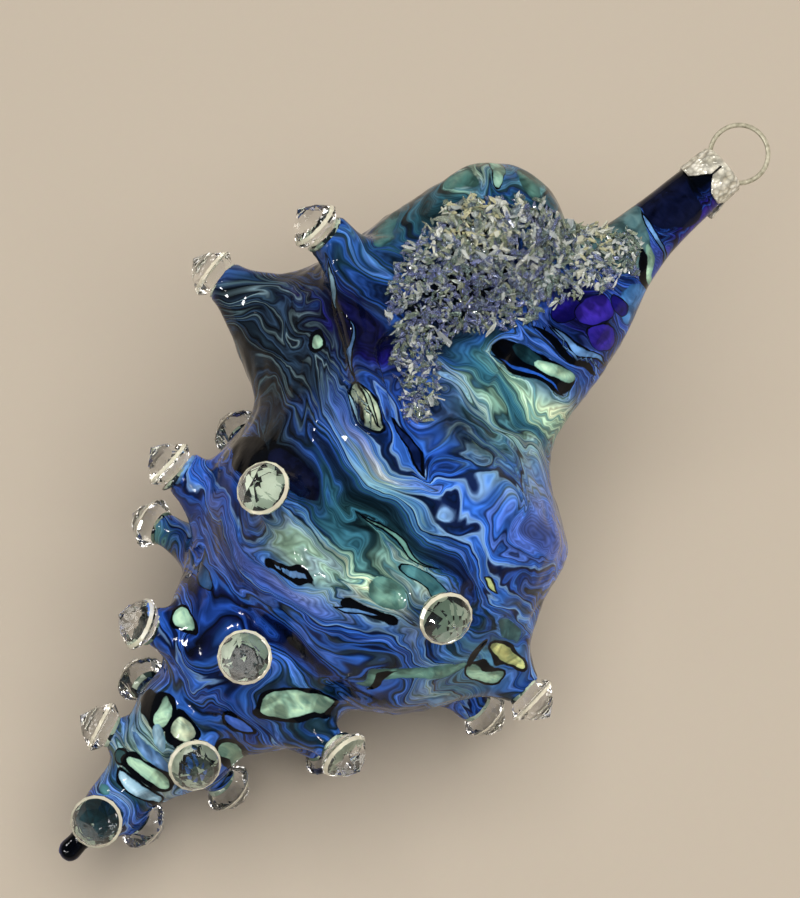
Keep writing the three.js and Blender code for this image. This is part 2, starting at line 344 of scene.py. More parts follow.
@dataclass(frozen=True)
class RoundCone:
    """A ball at each end and the cone that wraps both, in millimetres."""

    start: Spot
    start_radius: float
    end: Spot
    end_radius: float

    def distance(self, a: Array, b: Array, w: Array) -> Array:
        """Measures the way to the form's skin.

        Args:
            a, b, w: Each point's place in the shell's frame.

        Returns:
            Each point's distance from the skin, negative inside.
        """
        span = np.subtract(self.end, self.start)
        long2 = float(span @ span)
        taper = self.start_radius - self.end_radius
        side2 = long2 - taper * taper
        pa, pb, pw = a - self.start[0], b - self.start[1], w - self.start[2]
        y = pa * span[0] + pb * span[1] + pw * span[2]
        z = y - long2
        x2 = (
            (pa * long2 - span[0] * y) ** 2
            + (pb * long2 - span[1] * y) ** 2
            + (pw * long2 - span[2] * y) ** 2
        )
        y2, z2 = y * y * long2, z * z * long2
        k = math.copysign(1.0, taper) * taper * taper * x2
        past_end = np.sign(z) * side2 * z2 > k
        before_start = np.sign(y) * side2 * y2 < k
        flank = (np.sqrt(x2 * side2 / long2) + y * taper) / long2 - self.start_radius
        ends = np.where(
            past_end,
            np.sqrt(x2 + z2) / long2 - self.end_radius,
            np.sqrt(x2 + y2) / long2 - self.start_radius,
        )
        return np.where(past_end | before_start, ends, flank)


@dataclass(frozen=True)
class Whorls:
    """The turned body: a spire, the big last whorl and the neck, on a gently swaying middle line."""

    # Its stations and its radius at each, in millimetres.
    profile: Pairs = (
        (0, 0.0), (0.5, 1.25), (1.8, 1.8), (3.6, 1.7), (5.5, 2.15), (8.5, 3.1), (12, 4.3),
        (15.3, 4.9), (18, 5.6), (22, 7.2), (27, 9.2), (31, 10.1), (35.5, 12.3), (40, 15.0),
        (44, 16.4), (47.5, 17.2), (52, 20.4), (57, 24.3), (63, 26.4), (70, 26.8), (78, 26.5),
        (85, 25.5), (89.5, 23.8), (92.5, 19.8), (95.5, 15.6), (100, 12.0), (107, 10.3),
        (115, 9.5), (121, 8.4), (126, 7.0), (130, 5.8), (135, 4.8), (140, 4.35), (144, 4.15),
        (148, 3.8),
    )  # fmt: skip
    # Stations and how far the middle line stands off towards the lip at each.
    sway: Pairs = (
        (0, 0), (60, 0), (90, 0), (97, 1.1), (107, 1.7), (118, 1.7), (128, 2.2), (135, 1.9),
        (142, 1.3), (148, 0.7), (158, -0.2),
    )  # fmt: skip
    rim: float = 148.0  # the station where the neck was cut off
    rim_blend: float = 0.5  # how far its cut edge is eased
    steepest: float = 2.0  # the steepest slope that a distance allows for

    def middle(self, a: Array | float) -> Array:
        """How far the middle line stands off towards the lip at station a."""
        xs, ys = np.array(self.sway).T
        return np.interp(a, xs, ys)

    def distance(self, a: Array, b: Array, w: Array) -> Array:
        """Measures the way to the body's skin.

        Args:
            a, b, w: Each point's place in the shell's frame.

        Returns:
            Each point's distance from the skin, negative inside.
        """
        table = np.arange(-1.0, 160.0, 0.1)
        radii = np.where(table < 0, 0.0, eased(self.profile, table))
        slopes = np.clip(np.gradient(radii, table), -self.steepest, self.steepest)
        radius = np.interp(a, table, radii)
        slope = np.interp(a, table, slopes)
        out = np.hypot(b - self.middle(a), w)
        side = (out - radius) / np.sqrt(1 + slope * slope)
        before = np.hypot(np.minimum(a, 0.0), np.maximum(out - radius, 0.0))
        field_value = np.where(a < 0, before, side)
        return smooth_max(field_value, a - self.rim, self.rim_blend)


BROAD_ROOT = 10.0  # mm, the root radius from which a spine is a tent
ROOT_DEPTH = 5.0  # mm under the wall, where a spine starts
SEAT_BLEND = 0.9  # mm, how far the edge of a stone's seat is eased
LONGEST = 22.0  # mm, the most of a spine that stands out of the wall


class Pull(Enum):
    """How a spine was pulled out of the hot wall."""

    PRICK = (2.0, 3.0)
    TENT = (1.35, 4.0)

    def __init__(self, power: float, fillet: float) -> None:
        """Names the values.

        Args:
            power: How fast the spine narrows from its root.
            fillet: How wide it runs out into the wall, in millimetres.
        """
        self.power = power
        self.fillet = fillet


@dataclass(frozen=True)
class Spine:
    """A spine drawn out of the wall, with a flat seat for its stone.

    Args:
        stone: The name of its stone.
        station: Where its line leaves the body's middle line.
        around: Its angle about the middle line, 0 at +w and 90 at +b, in degrees.
        reach: How far its seat stands off the middle line.
        lean: How far its line tips towards the neck, in degrees.
        root: Its radius where it leaves the wall.
        tip: Its radius under the stone.
    """

    stone: str
    station: float
    around: float
    reach: float
    lean: float
    root: float
    tip: float

    @property
    def pull(self) -> Pull:
        """A broad root makes a tent, and a narrow one a prick."""
        return Pull.PRICK if self.root < BROAD_ROOT else Pull.TENT

    def line(self, body: Whorls) -> tuple[Array, Array, float]:
        """Finds the spine's line.

        Args:
            body: The body that it stands on.

        Returns:
            Where it leaves the middle line, its direction and its length up to the stone's seat.
        """
        angle, tilt = math.radians(self.around), math.radians(self.lean)
        foot = np.array([self.station, float(body.middle(self.station)), 0.0])
        way = np.array(
            [math.sin(tilt), math.sin(angle) * math.cos(tilt), math.cos(angle) * math.cos(tilt)]
        )
        return foot, way, self.reach / math.cos(tilt)

    def distance(self, body: Whorls, a: Array, b: Array, w: Array) -> Array:
        """Measures the way to the spine's skin.

        Args:
            body: The body that it stands on.
            a, b, w: Each point's place in the shell's frame.

        Returns:
            Each point's distance from the skin, negative inside.
        """
        foot, way, length = self.line(body)
        wall = float(np.interp(self.station, *np.array(body.profile).T))
        start = max(min(wall, length) - ROOT_DEPTH, 0.0)
        pa, pb, pw = a - foot[0], b - foot[1], w - foot[2]
        along = pa * way[0] + pb * way[1] + pw * way[2]
        out = np.sqrt(np.maximum(pa * pa + pb * pb + pw * pw - along * along, 0.0))
        share = np.clip((along - start) / (length - start), 0.0, 1.0)
        radius = self.tip + (self.root - self.tip) * (1 - share) ** self.pull.power
        slope = (self.root - self.tip) / (length - start)
        side = (out - radius) / math.sqrt(1 + slope * slope)
        capped = smooth_max(side, along - length, SEAT_BLEND)
        return np.maximum(capped, start - along)

    def box(self, body: Whorls, margin: float) -> tuple[Array, Array]:
        """Finds a box that holds the part of the spine that shows.

        Args:
            body: The body that the spine stands on.
            margin: How far the box stands off it, in millimetres.

        Returns:
            The box's lowest and highest corners.
        """
        foot, way, length = self.line(body)
        ends = np.array([foot + way * max(length - LONGEST, 0.0), foot + way * length])
        pad = self.root * 0.9 + margin
        return ends.min(0) - pad, ends.max(0) + pad


SPINES = (
    Spine("tip_1", 9.4, 2, 3.9, -5, 3.0, 2.4),
    Spine("tip_2", 12.0, -128, 5.0, 0, 3.2, 2.4),
    Spine("spire_1", 22.3, 88, 7.9, -17, 4.2, 2.6),
    Spine("spire_2", 26.5, -21, 10.7, 0, 4.8, 2.6),
    Spine("spire_3", 25.3, -118, 10.9, 0, 4.6, 2.5),
    Spine("spire_4", 27.8, 130, 12.0, 0, 4.6, 2.5),
    Spine("waist_1", 41.5, 60, 17.2, -16, 6.0, 2.8),
    Spine("waist_2", 44.6, 4, 19.8, 0, 6.2, 2.9),
    Spine("waist_3", 43.4, -61, 20.8, 0, 7.0, 2.8),
    Spine("waist_4", 39.6, -123, 20.6, 0, 6.4, 2.7),
    Spine("waist_5", 45.0, 175, 21.2, 0, 6.2, 2.8),
    Spine("shoulder_1", 56.2, 112, 27.0, -18, 7.0, 2.8),
    Spine("shoulder_2", 57.0, 82, 28.9, -1, 7.4, 3.6),
    Spine("shoulder_3", 65.1, 28, 33.8, 0, 7.6, 3.0),
    Spine("shoulder_4", 69.9, -27, 32.4, 0, 7.6, 3.2),
    Spine("shoulder_5", 69.2, -86, 33.7, 0, 15.0, 2.6),
    Spine("shoulder_6", 61.8, -108, 32.8, 0, 8.0, 2.7),
    Spine("shoulder_7", 70.0, -140, 29.6, 0, 7.2, 2.9),
    Spine("shoulder_8", 66.5, 128, 33.2, 0, 8.0, 2.8),
    Spine("lip_1", 86.0, 165, 35.4, 0, 9.0, 2.9),
    Spine("lip_2", 88.3, 91, 44.8, -7, 21.0, 3.2),
    Spine("lip_3", 99.3, 70, 38.4, -1, 11.0, 3.4),
)


@dataclass(frozen=True)
class BlownForm:
    """The whole outer skin of the glass: the body, lip, fold and spines, melted together."""

    body: Whorls = Whorls()
    lip: RoundCone = RoundCone((93, 19.4, 0), 16.5, (116.6, 18.8, 0.5), 12.0)  # the flared lip
    # The fold of glass between the body and the lip.
    fold: RoundCone = RoundCone((96.8, 33.5, 12.6), 2.0, (84.6, 13.0, 23.8), 2.5)
    # The hollow above the fold.
    dent: RoundCone = RoundCone((92.0, 36.0, 17.0), 3.5, (82.0, 20.0, 25.6), 4.6)
    # The hollow that the crushed glass lies in.
    aperture: RoundCone = RoundCone((101.0, 10.5, 16.5), 4.5, (124.0, 9.6, 11.0), 3.6)
    spines: tuple[Spine, ...] = SPINES
    low: Spot = (-2.0, -38.0, -40.0)  # the lowest corner of the space that holds it all
    high: Spot = (150.0, 49.0, 40.0)  # the highest corner
    margin: float = 6.0  # kept round a spine, so that its fillet is whole
    lip_blend: float = 5.0  # how wide the lip runs out into the body, and so on for the others
    fold_blend: float = 1.4
    dent_blend: float = 2.5
    aperture_blend: float = 3.0
    core: float = 3.0  # the wall is left even this close to the middle line
    neck_end: float = 134.0  # and from here on along the neck
    waves: Ripples = ((11, 17.0, 0.28), (12, 7.5, 0.10), (13, 3.4, 0.06))
    # The grooves between whorls: each one's station, tilt, depth and width.
    grooves: tuple[tuple[float, float, float, float], ...] = (
        (15.8, -0.10, 0.45, 1.5), (31.8, -0.08, 0.8, 2.4), (49.5, -0.14, 0.9, 3.0),
    )  # fmt: skip

    def coarse(self, a: Array, b: Array, w: Array) -> Array:
        """Measures the way to the skin without its small unevenness.

        Args:
            a, b, w: Each point's place in the shell's frame. They may be the sides of a grid, and
                then a spine is worked out only for the part of the grid near it.

        Returns:
            Each point's distance from the skin, negative inside.
        """
        skin = self.body.distance(a, b, w)
        skin = smooth_min(skin, self.lip.distance(a, b, w), self.lip_blend)
        for spine in self.spines:
            blend = spine.pull.fillet
            low, high = spine.box(self.body, self.margin)
            if a.ndim == 3:
                cut = tuple(
                    slice(*np.searchsorted(axis.ravel(), (low[i], high[i])))
                    for i, axis in enumerate((a, b, w))
                )
                near = (a[cut[0]], b[:, cut[1]], w[:, :, cut[2]])
                skin[cut] = smooth_min(skin[cut], spine.distance(self.body, *near), blend)
            else:
                skin = smooth_min(skin, spine.distance(self.body, a, b, w), blend)
        skin = smooth_min(skin, self.fold.distance(a, b, w), self.fold_blend)
        skin = smooth_max(skin, -self.dent.distance(a, b, w), self.dent_blend)
        return smooth_max(skin, -self.aperture.distance(a, b, w), self.aperture_blend)

    def fine(self, a: Array, b: Array, w: Array) -> Array:
        """Measures the way to the skin with its grooves and the waviness of hand-pulled glass.

        Args:
            a, b, w: Each point's place in the shell's frame.

        Returns:
            Each point's distance from the skin, negative inside.
        """
        skin = self.coarse(a, b, w)
        reach = np.hypot(b, w)
        off_core, off_end = (reach - self.core) / 6.0, (self.neck_end - a) / 8.0
        thick = np.clip(off_core, 0.0, 1.0) * np.clip(off_end, 0.0, 1.0)
        wave = np.zeros_like(a)
        for seed, length, height in self.waves:
            wave = wave + height * Ripple(seed, length).at(a, b, w)
        for station, tilt, depth, width in self.grooves:
            near = (a + tilt * b - station) / width
            wave = wave + depth * np.exp(-near * near)
        return skin + wave * thick

    def slope(self, points: Array, step: float = 0.05) -> Array:
        """Finds which way is out of the fine skin.

        Args:
            points: The points, one row each.
            step: How far to each side the skin is felt for.

        Returns:
            How the distance from the skin grows along a, b and w. Its length is near 1.
        """
        rows = []
        for axis in range(3):
            ahead, behind = points.copy(), points.copy()
            ahead[:, axis] += step
            behind[:, axis] -= step
            rows.append(self.fine(*ahead.T) - self.fine(*behind.T))
        return np.stack(rows, 1) / (2 * step)

    def settle(self, points: Array, rounds: int = 3, stride: float = 0.8) -> Array:
        """Moves points that lie near the skin onto it.

        Args:
            points: The points, one row each.
            rounds: How many times they are moved.
            stride: The most that a point moves at once.

        Returns:
            The points on the skin.
        """
        for _ in range(rounds):
            way = self.slope(points)
            size2 = np.maximum((way * way).sum(1), 0.05)  # never 0 where two slopes meet
            gap = np.clip(self.fine(*points.T), -stride, stride)
            points = points - way * (gap / size2)[:, None]
        return points


def skin_of(form: BlownForm, pitch: float) -> tuple[Array, Array]:
    """Wraps a form's skin in a net of four-sided faces.

    Args:
        form: The solid whose skin is wanted.
        pitch: The net's spacing, in millimetres.

    Returns:
        The vertices, in millimetres, and the four vertices of each face, facing out.
    """
    axes = [np.arange(lo, hi, pitch) for lo, hi in zip(form.low, form.high)]
    grid = np.ix_(*axes)
    value = form.coarse(*(axis.astype(np.float64) for axis in grid)).astype(np.float32)
    inside = value < 0
    corners = [(i, j, k) for i in (0, 1) for j in (0, 1) for k in (0, 1)]
    size = np.array(value.shape) - 1

    def corner(data: Array, shift: tuple[int, int, int]) -> Array:
        """The value at one corner of every cell."""
        return data[tuple(slice(s, s + n) for s, n in zip(shift, size))]

    count = sum(corner(inside, c).astype(np.int8) for c in corners)
    cells = np.argwhere((count > 0) & (count < 8))
    number = np.full(tuple(size), -1, np.int64)
    number[tuple(cells.T)] = np.arange(len(cells))
    total, weight = np.zeros((len(cells), 3)), np.zeros(len(cells))
    for c in corners:
        for axis in range(3):
            if c[axis]:
                continue
            d = tuple(1 if i == axis else v for i, v in enumerate(c))
            v0 = value[tuple((cells + c).T)].astype(float)
            v1 = value[tuple((cells + d).T)].astype(float)
            crosses = (v0 < 0) != (v1 < 0)
            t = np.where(crosses, v0 / np.where(crosses, v0 - v1, 1.0), 0.0)
            spot = np.array(c, float) + np.eye(3)[axis] * t[:, None]
            total += spot * crosses[:, None]
            weight += crosses
    points = (cells + total / weight[:, None]) * pitch + np.array(form.low)
    faces = []
    for axis in range(3):
        u, v = (axis + 1) % 3, (axis + 2) % 3
        here = [slice(None)] * 3
        there = [slice(None)] * 3
        here[axis], there[axis] = slice(0, -1), slice(1, None)
        change = inside[tuple(here)] != inside[tuple(there)]
        edge = np.argwhere(change)
        edge = edge[(edge[:, u] > 0) & (edge[:, v] > 0)]
        edge = edge[(edge[:, u] < size[u]) & (edge[:, v] < size[v])]
        leaves = inside[tuple(edge.T)]
        ring = []
        for du, dv in ((-1, -1), (0, -1), (0, 0), (-1, 0)):
            at = edge.copy()
            at[:, u] += du
            at[:, v] += dv
            ring.append(number[tuple(at.T)])
        quad = np.stack(ring, 1)
        quad[~leaves] = quad[~leaves][:, ::-1]
        faces.append(quad)
    return points, np.concatenate(faces)


# ---- where the shell lies

GAP = 0.3  # mm of glue between a spine's seat and its stone
STONE_HEIGHT = 5.6  # mm


@dataclass(frozen=True)
class StoneSeat:
    """Where one stone of the CAD part sits, in the row frame, in millimetres."""

    name: str
    table: Array
    culet: Array

    @classmethod
    def read(cls, name: str, node: Piece) -> StoneSeat:
        """Measures a stone's axis from its mesh: it is round about one axis and pointed at one end.

        Args:
            name: The stone's name.
            node: The stone's CAD node.

        Returns:
            The middle of its flat table and the tip of its point.
        """
        points = np.array([v.co for v in node.data.vertices]) / MM
        points = np.unique(np.round(points, 4), axis=0)
        middle = points.mean(0)
        values, axes = np.linalg.eigh(np.cov((points - middle).T))
        odd = 0 if values[1] - values[0] > values[2] - values[1] else 2
        way = axes[:, odd]
        along = (points - middle) @ way
        if along.max() < -along.min():
            way, along = -way, -along
        return cls(name, middle + way * along.min(), middle + way * along.max())


@dataclass(frozen=True)
class Lie:
    """How the shell's own frame lies in the row's frame."""

    turn: Array
    shift: Array

    @classmethod
    def from_seats(cls, seats: dict[str, StoneSeat], form: BlownForm) -> Lie:
        """Finds the turn and shift that take each spine's seat to its stone.

        Args:
            seats: The measured seats, by stone name.
            form: The glass, whose spines say where those seats are in the shell's own frame.

        Returns:
            The best rigid placement.
        """
        own, row = [], []
        for spine in form.spines:
            foot, way, length = spine.line(form.body)
            own += [foot + way * (length + GAP), foot + way * (length + GAP + STONE_HEIGHT)]
            row += [seats[spine.stone].table, seats[spine.stone].culet]
        p, q = np.array(own), np.array(row)
        u, _, vt = np.linalg.svd((p - p.mean(0)).T @ (q - q.mean(0)))
        flip = np.diag([1, 1, np.sign(np.linalg.det(vt.T @ u.T))])
        turn = vt.T @ flip @ u.T
        shift = q.mean(0) - turn @ p.mean(0)
        error = np.linalg.norm(p @ turn.T + shift - q, axis=1).max()
        LOG.info("the shell's frame fits the stones within %.3f mm", error)
        return cls(turn, shift)

    def place(self, points: Array) -> Array:
        """Takes points from the shell's frame, in millimetres, to the row's, in metres."""
        return (points @ self.turn.T + self.shift) * MM

    def aim(self, way: Sequence[float]) -> Vector:
        """Takes a direction from the shell's frame to the row's."""
        return Vector(self.turn @ np.array(way, float))


# ---- finishes


@dataclass(frozen=True)
class GlassRods:
    """Colours of the soda-lime glass rods that were melted into the wall, as sRGB hex."""

    soot: str = "#02040a"
    navy: str = "#091540"
    ink: str = "#122456"
    cobalt: str = "#1b4196"
    blue: str = "#295ab6"
    steel: str = "#2f5a8c"
    slate: str = "#24384f"
    periwinkle: str = "#4c74d6"
    sky: str = "#769fd4"
    ice: str = "#a4c4d6"
    indigo: str = "#150f62"
    violet: str = "#30218a"
    pine: str = "#16323a"
    teal: str = "#27566a"
    sea: str = "#4c7c80"
    moss: str = "#6e9688"
    mint: str = "#a8caae"
    cream: str = "#ccd6b6"
    straw: str = "#ccce88"


RODS = GlassRods()


RIM_ROOM = 0.8  # mm, kept round a drop for its dark line
OVERLAP = 1.0  # mm past the shell's edge, up to which a drop on the other side goes on
NET_LIMIT = 0.7  # mm, under which half a drop's width is too fine for the net
STREAK_REACH = 0.9  # mm, from which a streak's influence falls off
PUSH_DEPTH = 5.0  # mm from the middle plane, at which glass is shoved aside in full
PUSH_REACH = 5.0  # of a drop's radii, where that ends
PUSH_FADE = 2.0  # of its radii, over which it fades


class Side(Enum):
    """Which side of the shell a drop was pressed into."""

    APERTURE = 1.0
    BACK = -1.0


@dataclass(frozen=True)
class Drop:
    """A drop of coloured glass pressed into the wall and pulled into a leaf; a few pale streaks are
    painted highlights, and one dark drop is a painted shadow.

    Args:
        station: Its middle along the shell.
        across: Its middle towards the lip.
        half_a: Half its extent along the shell, before it is tilted.
        half_b: Half its extent across the shell.
        tilt: How far it is turned, in degrees, from across towards the spire.
        colour: Its glass, as sRGB hex.
        rim: The width of the dark line round it.
        side: The side of the shell that it is on.
    """

    station: float
    across: float
    half_a: float
    half_b: float
    tilt: float
    colour: str
    rim: float = 0.0
    side: Side = Side.APERTURE

    def polar(self, a: Array, b: Array) -> tuple[Array, Array, Array]:
        """Places points in the drop's own frame.

        Args:
            a, b: Each point's place in the shell's frame.

        Returns:
            Each point along and across the drop, and how many of the drop's radii away it is.
        """
        turn = math.radians(self.tilt)
        da, db = a - self.station, b - self.across
        u = (da * math.cos(turn) + db * math.sin(turn)) / self.half_a
        v = (-da * math.sin(turn) + db * math.cos(turn)) / self.half_b
        return u, v, np.sqrt(u * u + v * v + 1e-6)

    def touches(self, other: Drop) -> bool:
        """Finds whether two drops would run into each other.

        Args:
            other: The other drop.

        Returns:
            Whether it is on the same side and comes within a rim's width of this one.
        """
        turns = np.linspace(0, 2 * math.pi, 24, endpoint=False)
        tilt = math.radians(other.tilt)
        u = (other.half_a + RIM_ROOM) * np.cos(turns)
        v = (other.half_b + RIM_ROOM) * np.sin(turns)
        a = other.station + u * math.cos(tilt) - v * math.sin(tilt)
        b = other.across + u * math.sin(tilt) + v * math.cos(tilt)
        grown = replace(self, half_a=self.half_a + RIM_ROOM, half_b=self.half_b + RIM_ROOM)
        reached = grown.polar(a, b)[2].min() < 1
        holds = grown.polar(np.array(other.station), np.array(other.across))[2] < 1
        held = other.polar(np.array(self.station), np.array(self.across))[2] < 1
        return self.side is other.side and bool(reached or holds or held)

    def edge(self, a: Array, b: Array, w: Array) -> Array:
        """Measures the way to the drop's outline.

        Args:
            a, b, w: Each point's place in the shell's frame.

        Returns:
            About how far each point is from the outline, negative inside.
        """
        u, v, far = self.polar(a, b)
        radius = (self.half_a * self.half_b) / np.sqrt(
            (self.half_b * u / far) ** 2 + (self.half_a * v / far) ** 2 + 1e-6
        )
        hidden = w * self.side.value < -OVERLAP
        return np.where(hidden, FAR, (far - 1) * radius)

    @property
    def thin(self) -> bool:
        """Whether it is a streak, finer than the net that carries the layout."""
        return self.half_a < NET_LIMIT

    def cross(self, a: Array, b: Array, w: Array) -> tuple[Array, Array]:
        """Measures the way to a streak's middle line.

        What it gives runs straight from vertex to vertex, so a line finer than the net stays whole.

        Args:
            a, b, w: Each point's place in the shell's frame.

        Returns:
            How far each point is across the middle line, and half the streak's width there.
        """
        u, v, _ = self.polar(a, b)
        across = u * self.half_a
        half = self.half_a * (1 - v * v) - np.maximum(np.abs(across) - STREAK_REACH, 0.0)
        hidden = w * self.side.value < -OVERLAP
        return across, np.where(hidden, -FAR, np.maximum(half, -FAR))

    def push(self, a: Array, b: Array, w: Array) -> tuple[Array, Array]:
        """Works out how the glass round the drop was shoved aside when it was pressed in.

        Args:
            a, b, w: Each point's place in the shell's frame.

        Returns:
            How far each point moved along and across the shell.
        """
        u, v, far = self.polar(a, b)
        keep = np.sqrt(np.maximum(1 - 1 / np.maximum(far, 1.0) ** 2, 0.0))
        share = (keep - 1) * np.clip(w * self.side.value / PUSH_DEPTH, 0.0, 1.0)
        share = share * np.clip((PUSH_REACH - far) / PUSH_FADE, 0.0, 1.0)
        turn = math.radians(self.tilt)
        du, dv = share * u * self.half_a, share * v * self.half_b
        return du * math.cos(turn) - dv * math.sin(turn), du * math.sin(turn) + dv * math.cos(turn)


DROPS = (
    Drop(9.2, 0.0, 3.4, 3.4, 0, RODS.pine),
    Drop(13.6, 3.0, 1.0, 1.6, 0, RODS.sea),
    Drop(18.6, 4.0, 1.4, 1.7, 0, RODS.sea, 0.25),
    Drop(16.9, -1.5, 1.0, 4.2, 4, RODS.ice, 0.3),
    Drop(19.9, -0.6, 1.7, 4.0, 10, RODS.mint, 0.5),
    Drop(22.6, 1.2, 0.9, 4.6, 0, RODS.sky),
    Drop(28.0, 4.8, 2.0, 2.2, 0, RODS.mint, 0.5),
    Drop(28.9, 0.2, 2.1, 2.6, 0, RODS.cream, 0.5),
    Drop(25.6, 2.4, 1.2, 2.8, -24, RODS.ice),
    Drop(31.0, -7.4, 1.6, 1.6, 0, RODS.mint, 0.5),
    Drop(41.0, 12.0, 1.6, 2.1, -20, RODS.mint, 0.35),
    Drop(43.8, -8.9, 2.4, 5.8, 46, RODS.mint, 0.45),
    Drop(36.0, -4.6, 0.8, 2.6, 8, RODS.periwinkle, 0.3),
    Drop(47.9, 14.0, 0.9, 2.2, 0, RODS.steel, 0.15),
    Drop(58.4, 5.4, 0.8, 3.0, 24, RODS.sky, 0.5),
    Drop(62.6, -7.2, 1.1, 4.6, 20, RODS.soot),
    Drop(61.4, -5.6, 0.5, 3.4, 30, RODS.sky, 0.3),
    Drop(66.4, -7.0, 1.7, 3.4, 12, RODS.moss),
    Drop(71.6, -9.4, 1.4, 3.8, 8, RODS.sea, 0.2),
    Drop(73.2, -3.5, 0.5, 7.0, 10, RODS.moss),
    Drop(66.4, 22.0, 2.6, 4.6, -10, RODS.soot),
    Drop(69.4, 15.0, 2.2, 5.0, 6, "#0a0f28"),
    Drop(78.1, -17.6, 0.5, 1.4, 0, RODS.straw, 0.3),
    Drop(84.6, 6.0, 0.6, 4.6, -16, RODS.ink),
    Drop(86.0, 27.0, 1.2, 1.3, 0, RODS.mint, 0.35),
    Drop(84.4, 14.2, 1.7, 4.2, -18, RODS.cream, 0.3),
    # Painted highlight: the next two pale stripes lie over the cream teardrop, whose own glass is
    # the drop above.
    Drop(84.9, 14.6, 0.5, 3.6, -20, RODS.cream),
    Drop(83.2, 15.0, 0.5, 3.4, -19, RODS.ice),
    # Painted highlight: the next two pale streaks run down the fold's ridge, where the light catches
    # it.
    Drop(93.6, 30.4, 0.66, 4.6, -33, RODS.ice),
    Drop(88.8, 22.6, 0.5, 4.8, -32, RODS.sky),
    Drop(106.5, 0.4, 2.7, 7.2, 16, RODS.soot),
    Drop(107.3, 2.0, 1.3, 3.6, 12, RODS.pine),
    Drop(108.3, -2.7, 1.2, 3.1, 16, RODS.mint),
    Drop(105.1, -0.2, 0.5, 6.0, 18, RODS.blue),
    Drop(111.6, -2.0, 0.55, 6.2, 8, RODS.soot),
    Drop(113.6, -3.0, 0.6, 5.4, 10, RODS.sky),
    Drop(124.8, -4.6, 3.6, 3.2, -30, "#4b82c0"),
    Drop(116.2, 2.6, 2.3, 2.2, 0, RODS.indigo, 0.15),
    Drop(119.2, 0.4, 2.5, 2.3, 0, RODS.violet, 0.12),
    Drop(117.4, -4.1, 2.3, 2.6, 10, RODS.violet, 0.15),
    Drop(122.6, -1.7, 1.7, 1.8, 0, RODS.indigo, 0.15),
    # Painted shadow: this dark drop is the cap's shadow on the neck, laid over dark glass.
    Drop(140.0, 3.2, 4.4, 5.4, -14, "#0a0f28"),
    Drop(131.2, 5.4, 4.2, 7.2, -34, "#4b686c"),
    Drop(129.0, -1.6, 0.55, 3.8, -30, RODS.soot),
    Drop(130.2, -1.5, 0.9, 3.2, -30, RODS.mint),
    Drop(134.6, 1.2, 0.65, 4.8, -17, RODS.sky),
    Drop(60.2, -18.6, 1.1, 8.4, 52, RODS.moss),
    Drop(56.0, -16.0, 0.5, 2.6, 70, RODS.soot),
    Drop(67.4, -26.6, 1.3, 3.0, 30, RODS.mint, 0.3),
    Drop(71.8, -28.0, 1.6, 3.4, 8, RODS.straw, 0.4),
    Drop(74.6, -24.6, 1.1, 2.6, 0, RODS.sea),
    Drop(68.8, -23.8, 2.4, 0.7, 10, RODS.soot),
    Drop(106.0, 31.4, 3.8, 1.1, 14, "#3f6a6a"),
    Drop(119.0, 28.6, 2.6, 1.1, -34, "#527a70"),
    Drop(124.2, 25.6, 1.1, 2.8, -44, "#8fae98", 0.15),
    Drop(126.8, 20.4, 1.1, 3.2, -14, "#466a62"),
    Drop(56.4, 29.6, 3.9, 2.6, 0, RODS.sky),
    Drop(37.0, 2.0, 2.4, 5.6, -14, RODS.teal, 0.3, Side.BACK),
    Drop(57.0, -9.0, 2.2, 7.5, 12, RODS.sea, 0.4, Side.BACK),
    Drop(61.0, 12.0, 1.8, 5.0, -24, RODS.mint, 0.4, Side.BACK),
    Drop(76.0, -12.0, 2.4, 6.4, 20, RODS.teal, 0.3, Side.BACK),
    Drop(80.0, 8.0, 1.2, 6.6, -8, RODS.mint, 0.4, Side.BACK),
    Drop(97.0, 4.0, 2.2, 8.6, 10, RODS.cream, 0.3, Side.BACK),
    Drop(104.0, 16.0, 2.2, 4.6, -20, RODS.moss, 0.4, Side.BACK),
    Drop(112.0, 0.0, 1.1, 6.6, 6, RODS.sky, 0.3, Side.BACK),
    Drop(121.0, 1.0, 1.8, 4.2, 12, RODS.violet, 0.3, Side.BACK),
    Drop(24.0, 0.0, 1.6, 4.6, 6, RODS.moss, 0.4, Side.BACK),
)


def layered(drops: Sequence[Drop], most: int = LAYERS) -> list[list[Drop]]:
    """Sorts drops into layers, so that no two of one layer touch and later ones lie on top.

    Args:
        drops: The drops, in the order that they were pressed in.
        most: How many layers there may be.

    Returns:
        The layers, lowest first.
    """
    layers: list[list[Drop]] = [[] for _ in range(most)]
    for drop in drops:
        level = 0
        for number, layer in enumerate(layers[:-1]):
            if any(drop.touches(other) for other in layer):
                level = number + 1
        layers[level].append(drop)
    return layers


@dataclass(frozen=True)
class Cloud:
    """A soft-edged stretch of the wall where one kind of glass takes over; in the tone, a stretch
    made darker or lighter, a few of them as painted shade.
    """

    station: float
    across: float
    half_a: float
    half_b: float
    strength: float

    def at(self, a: Array, b: Array) -> Array:
        """Its strength at each point."""
        near = ((a - self.station) / self.half_a) ** 2 + ((b - self.across) / self.half_b) ** 2
        return self.strength * np.exp(-near)


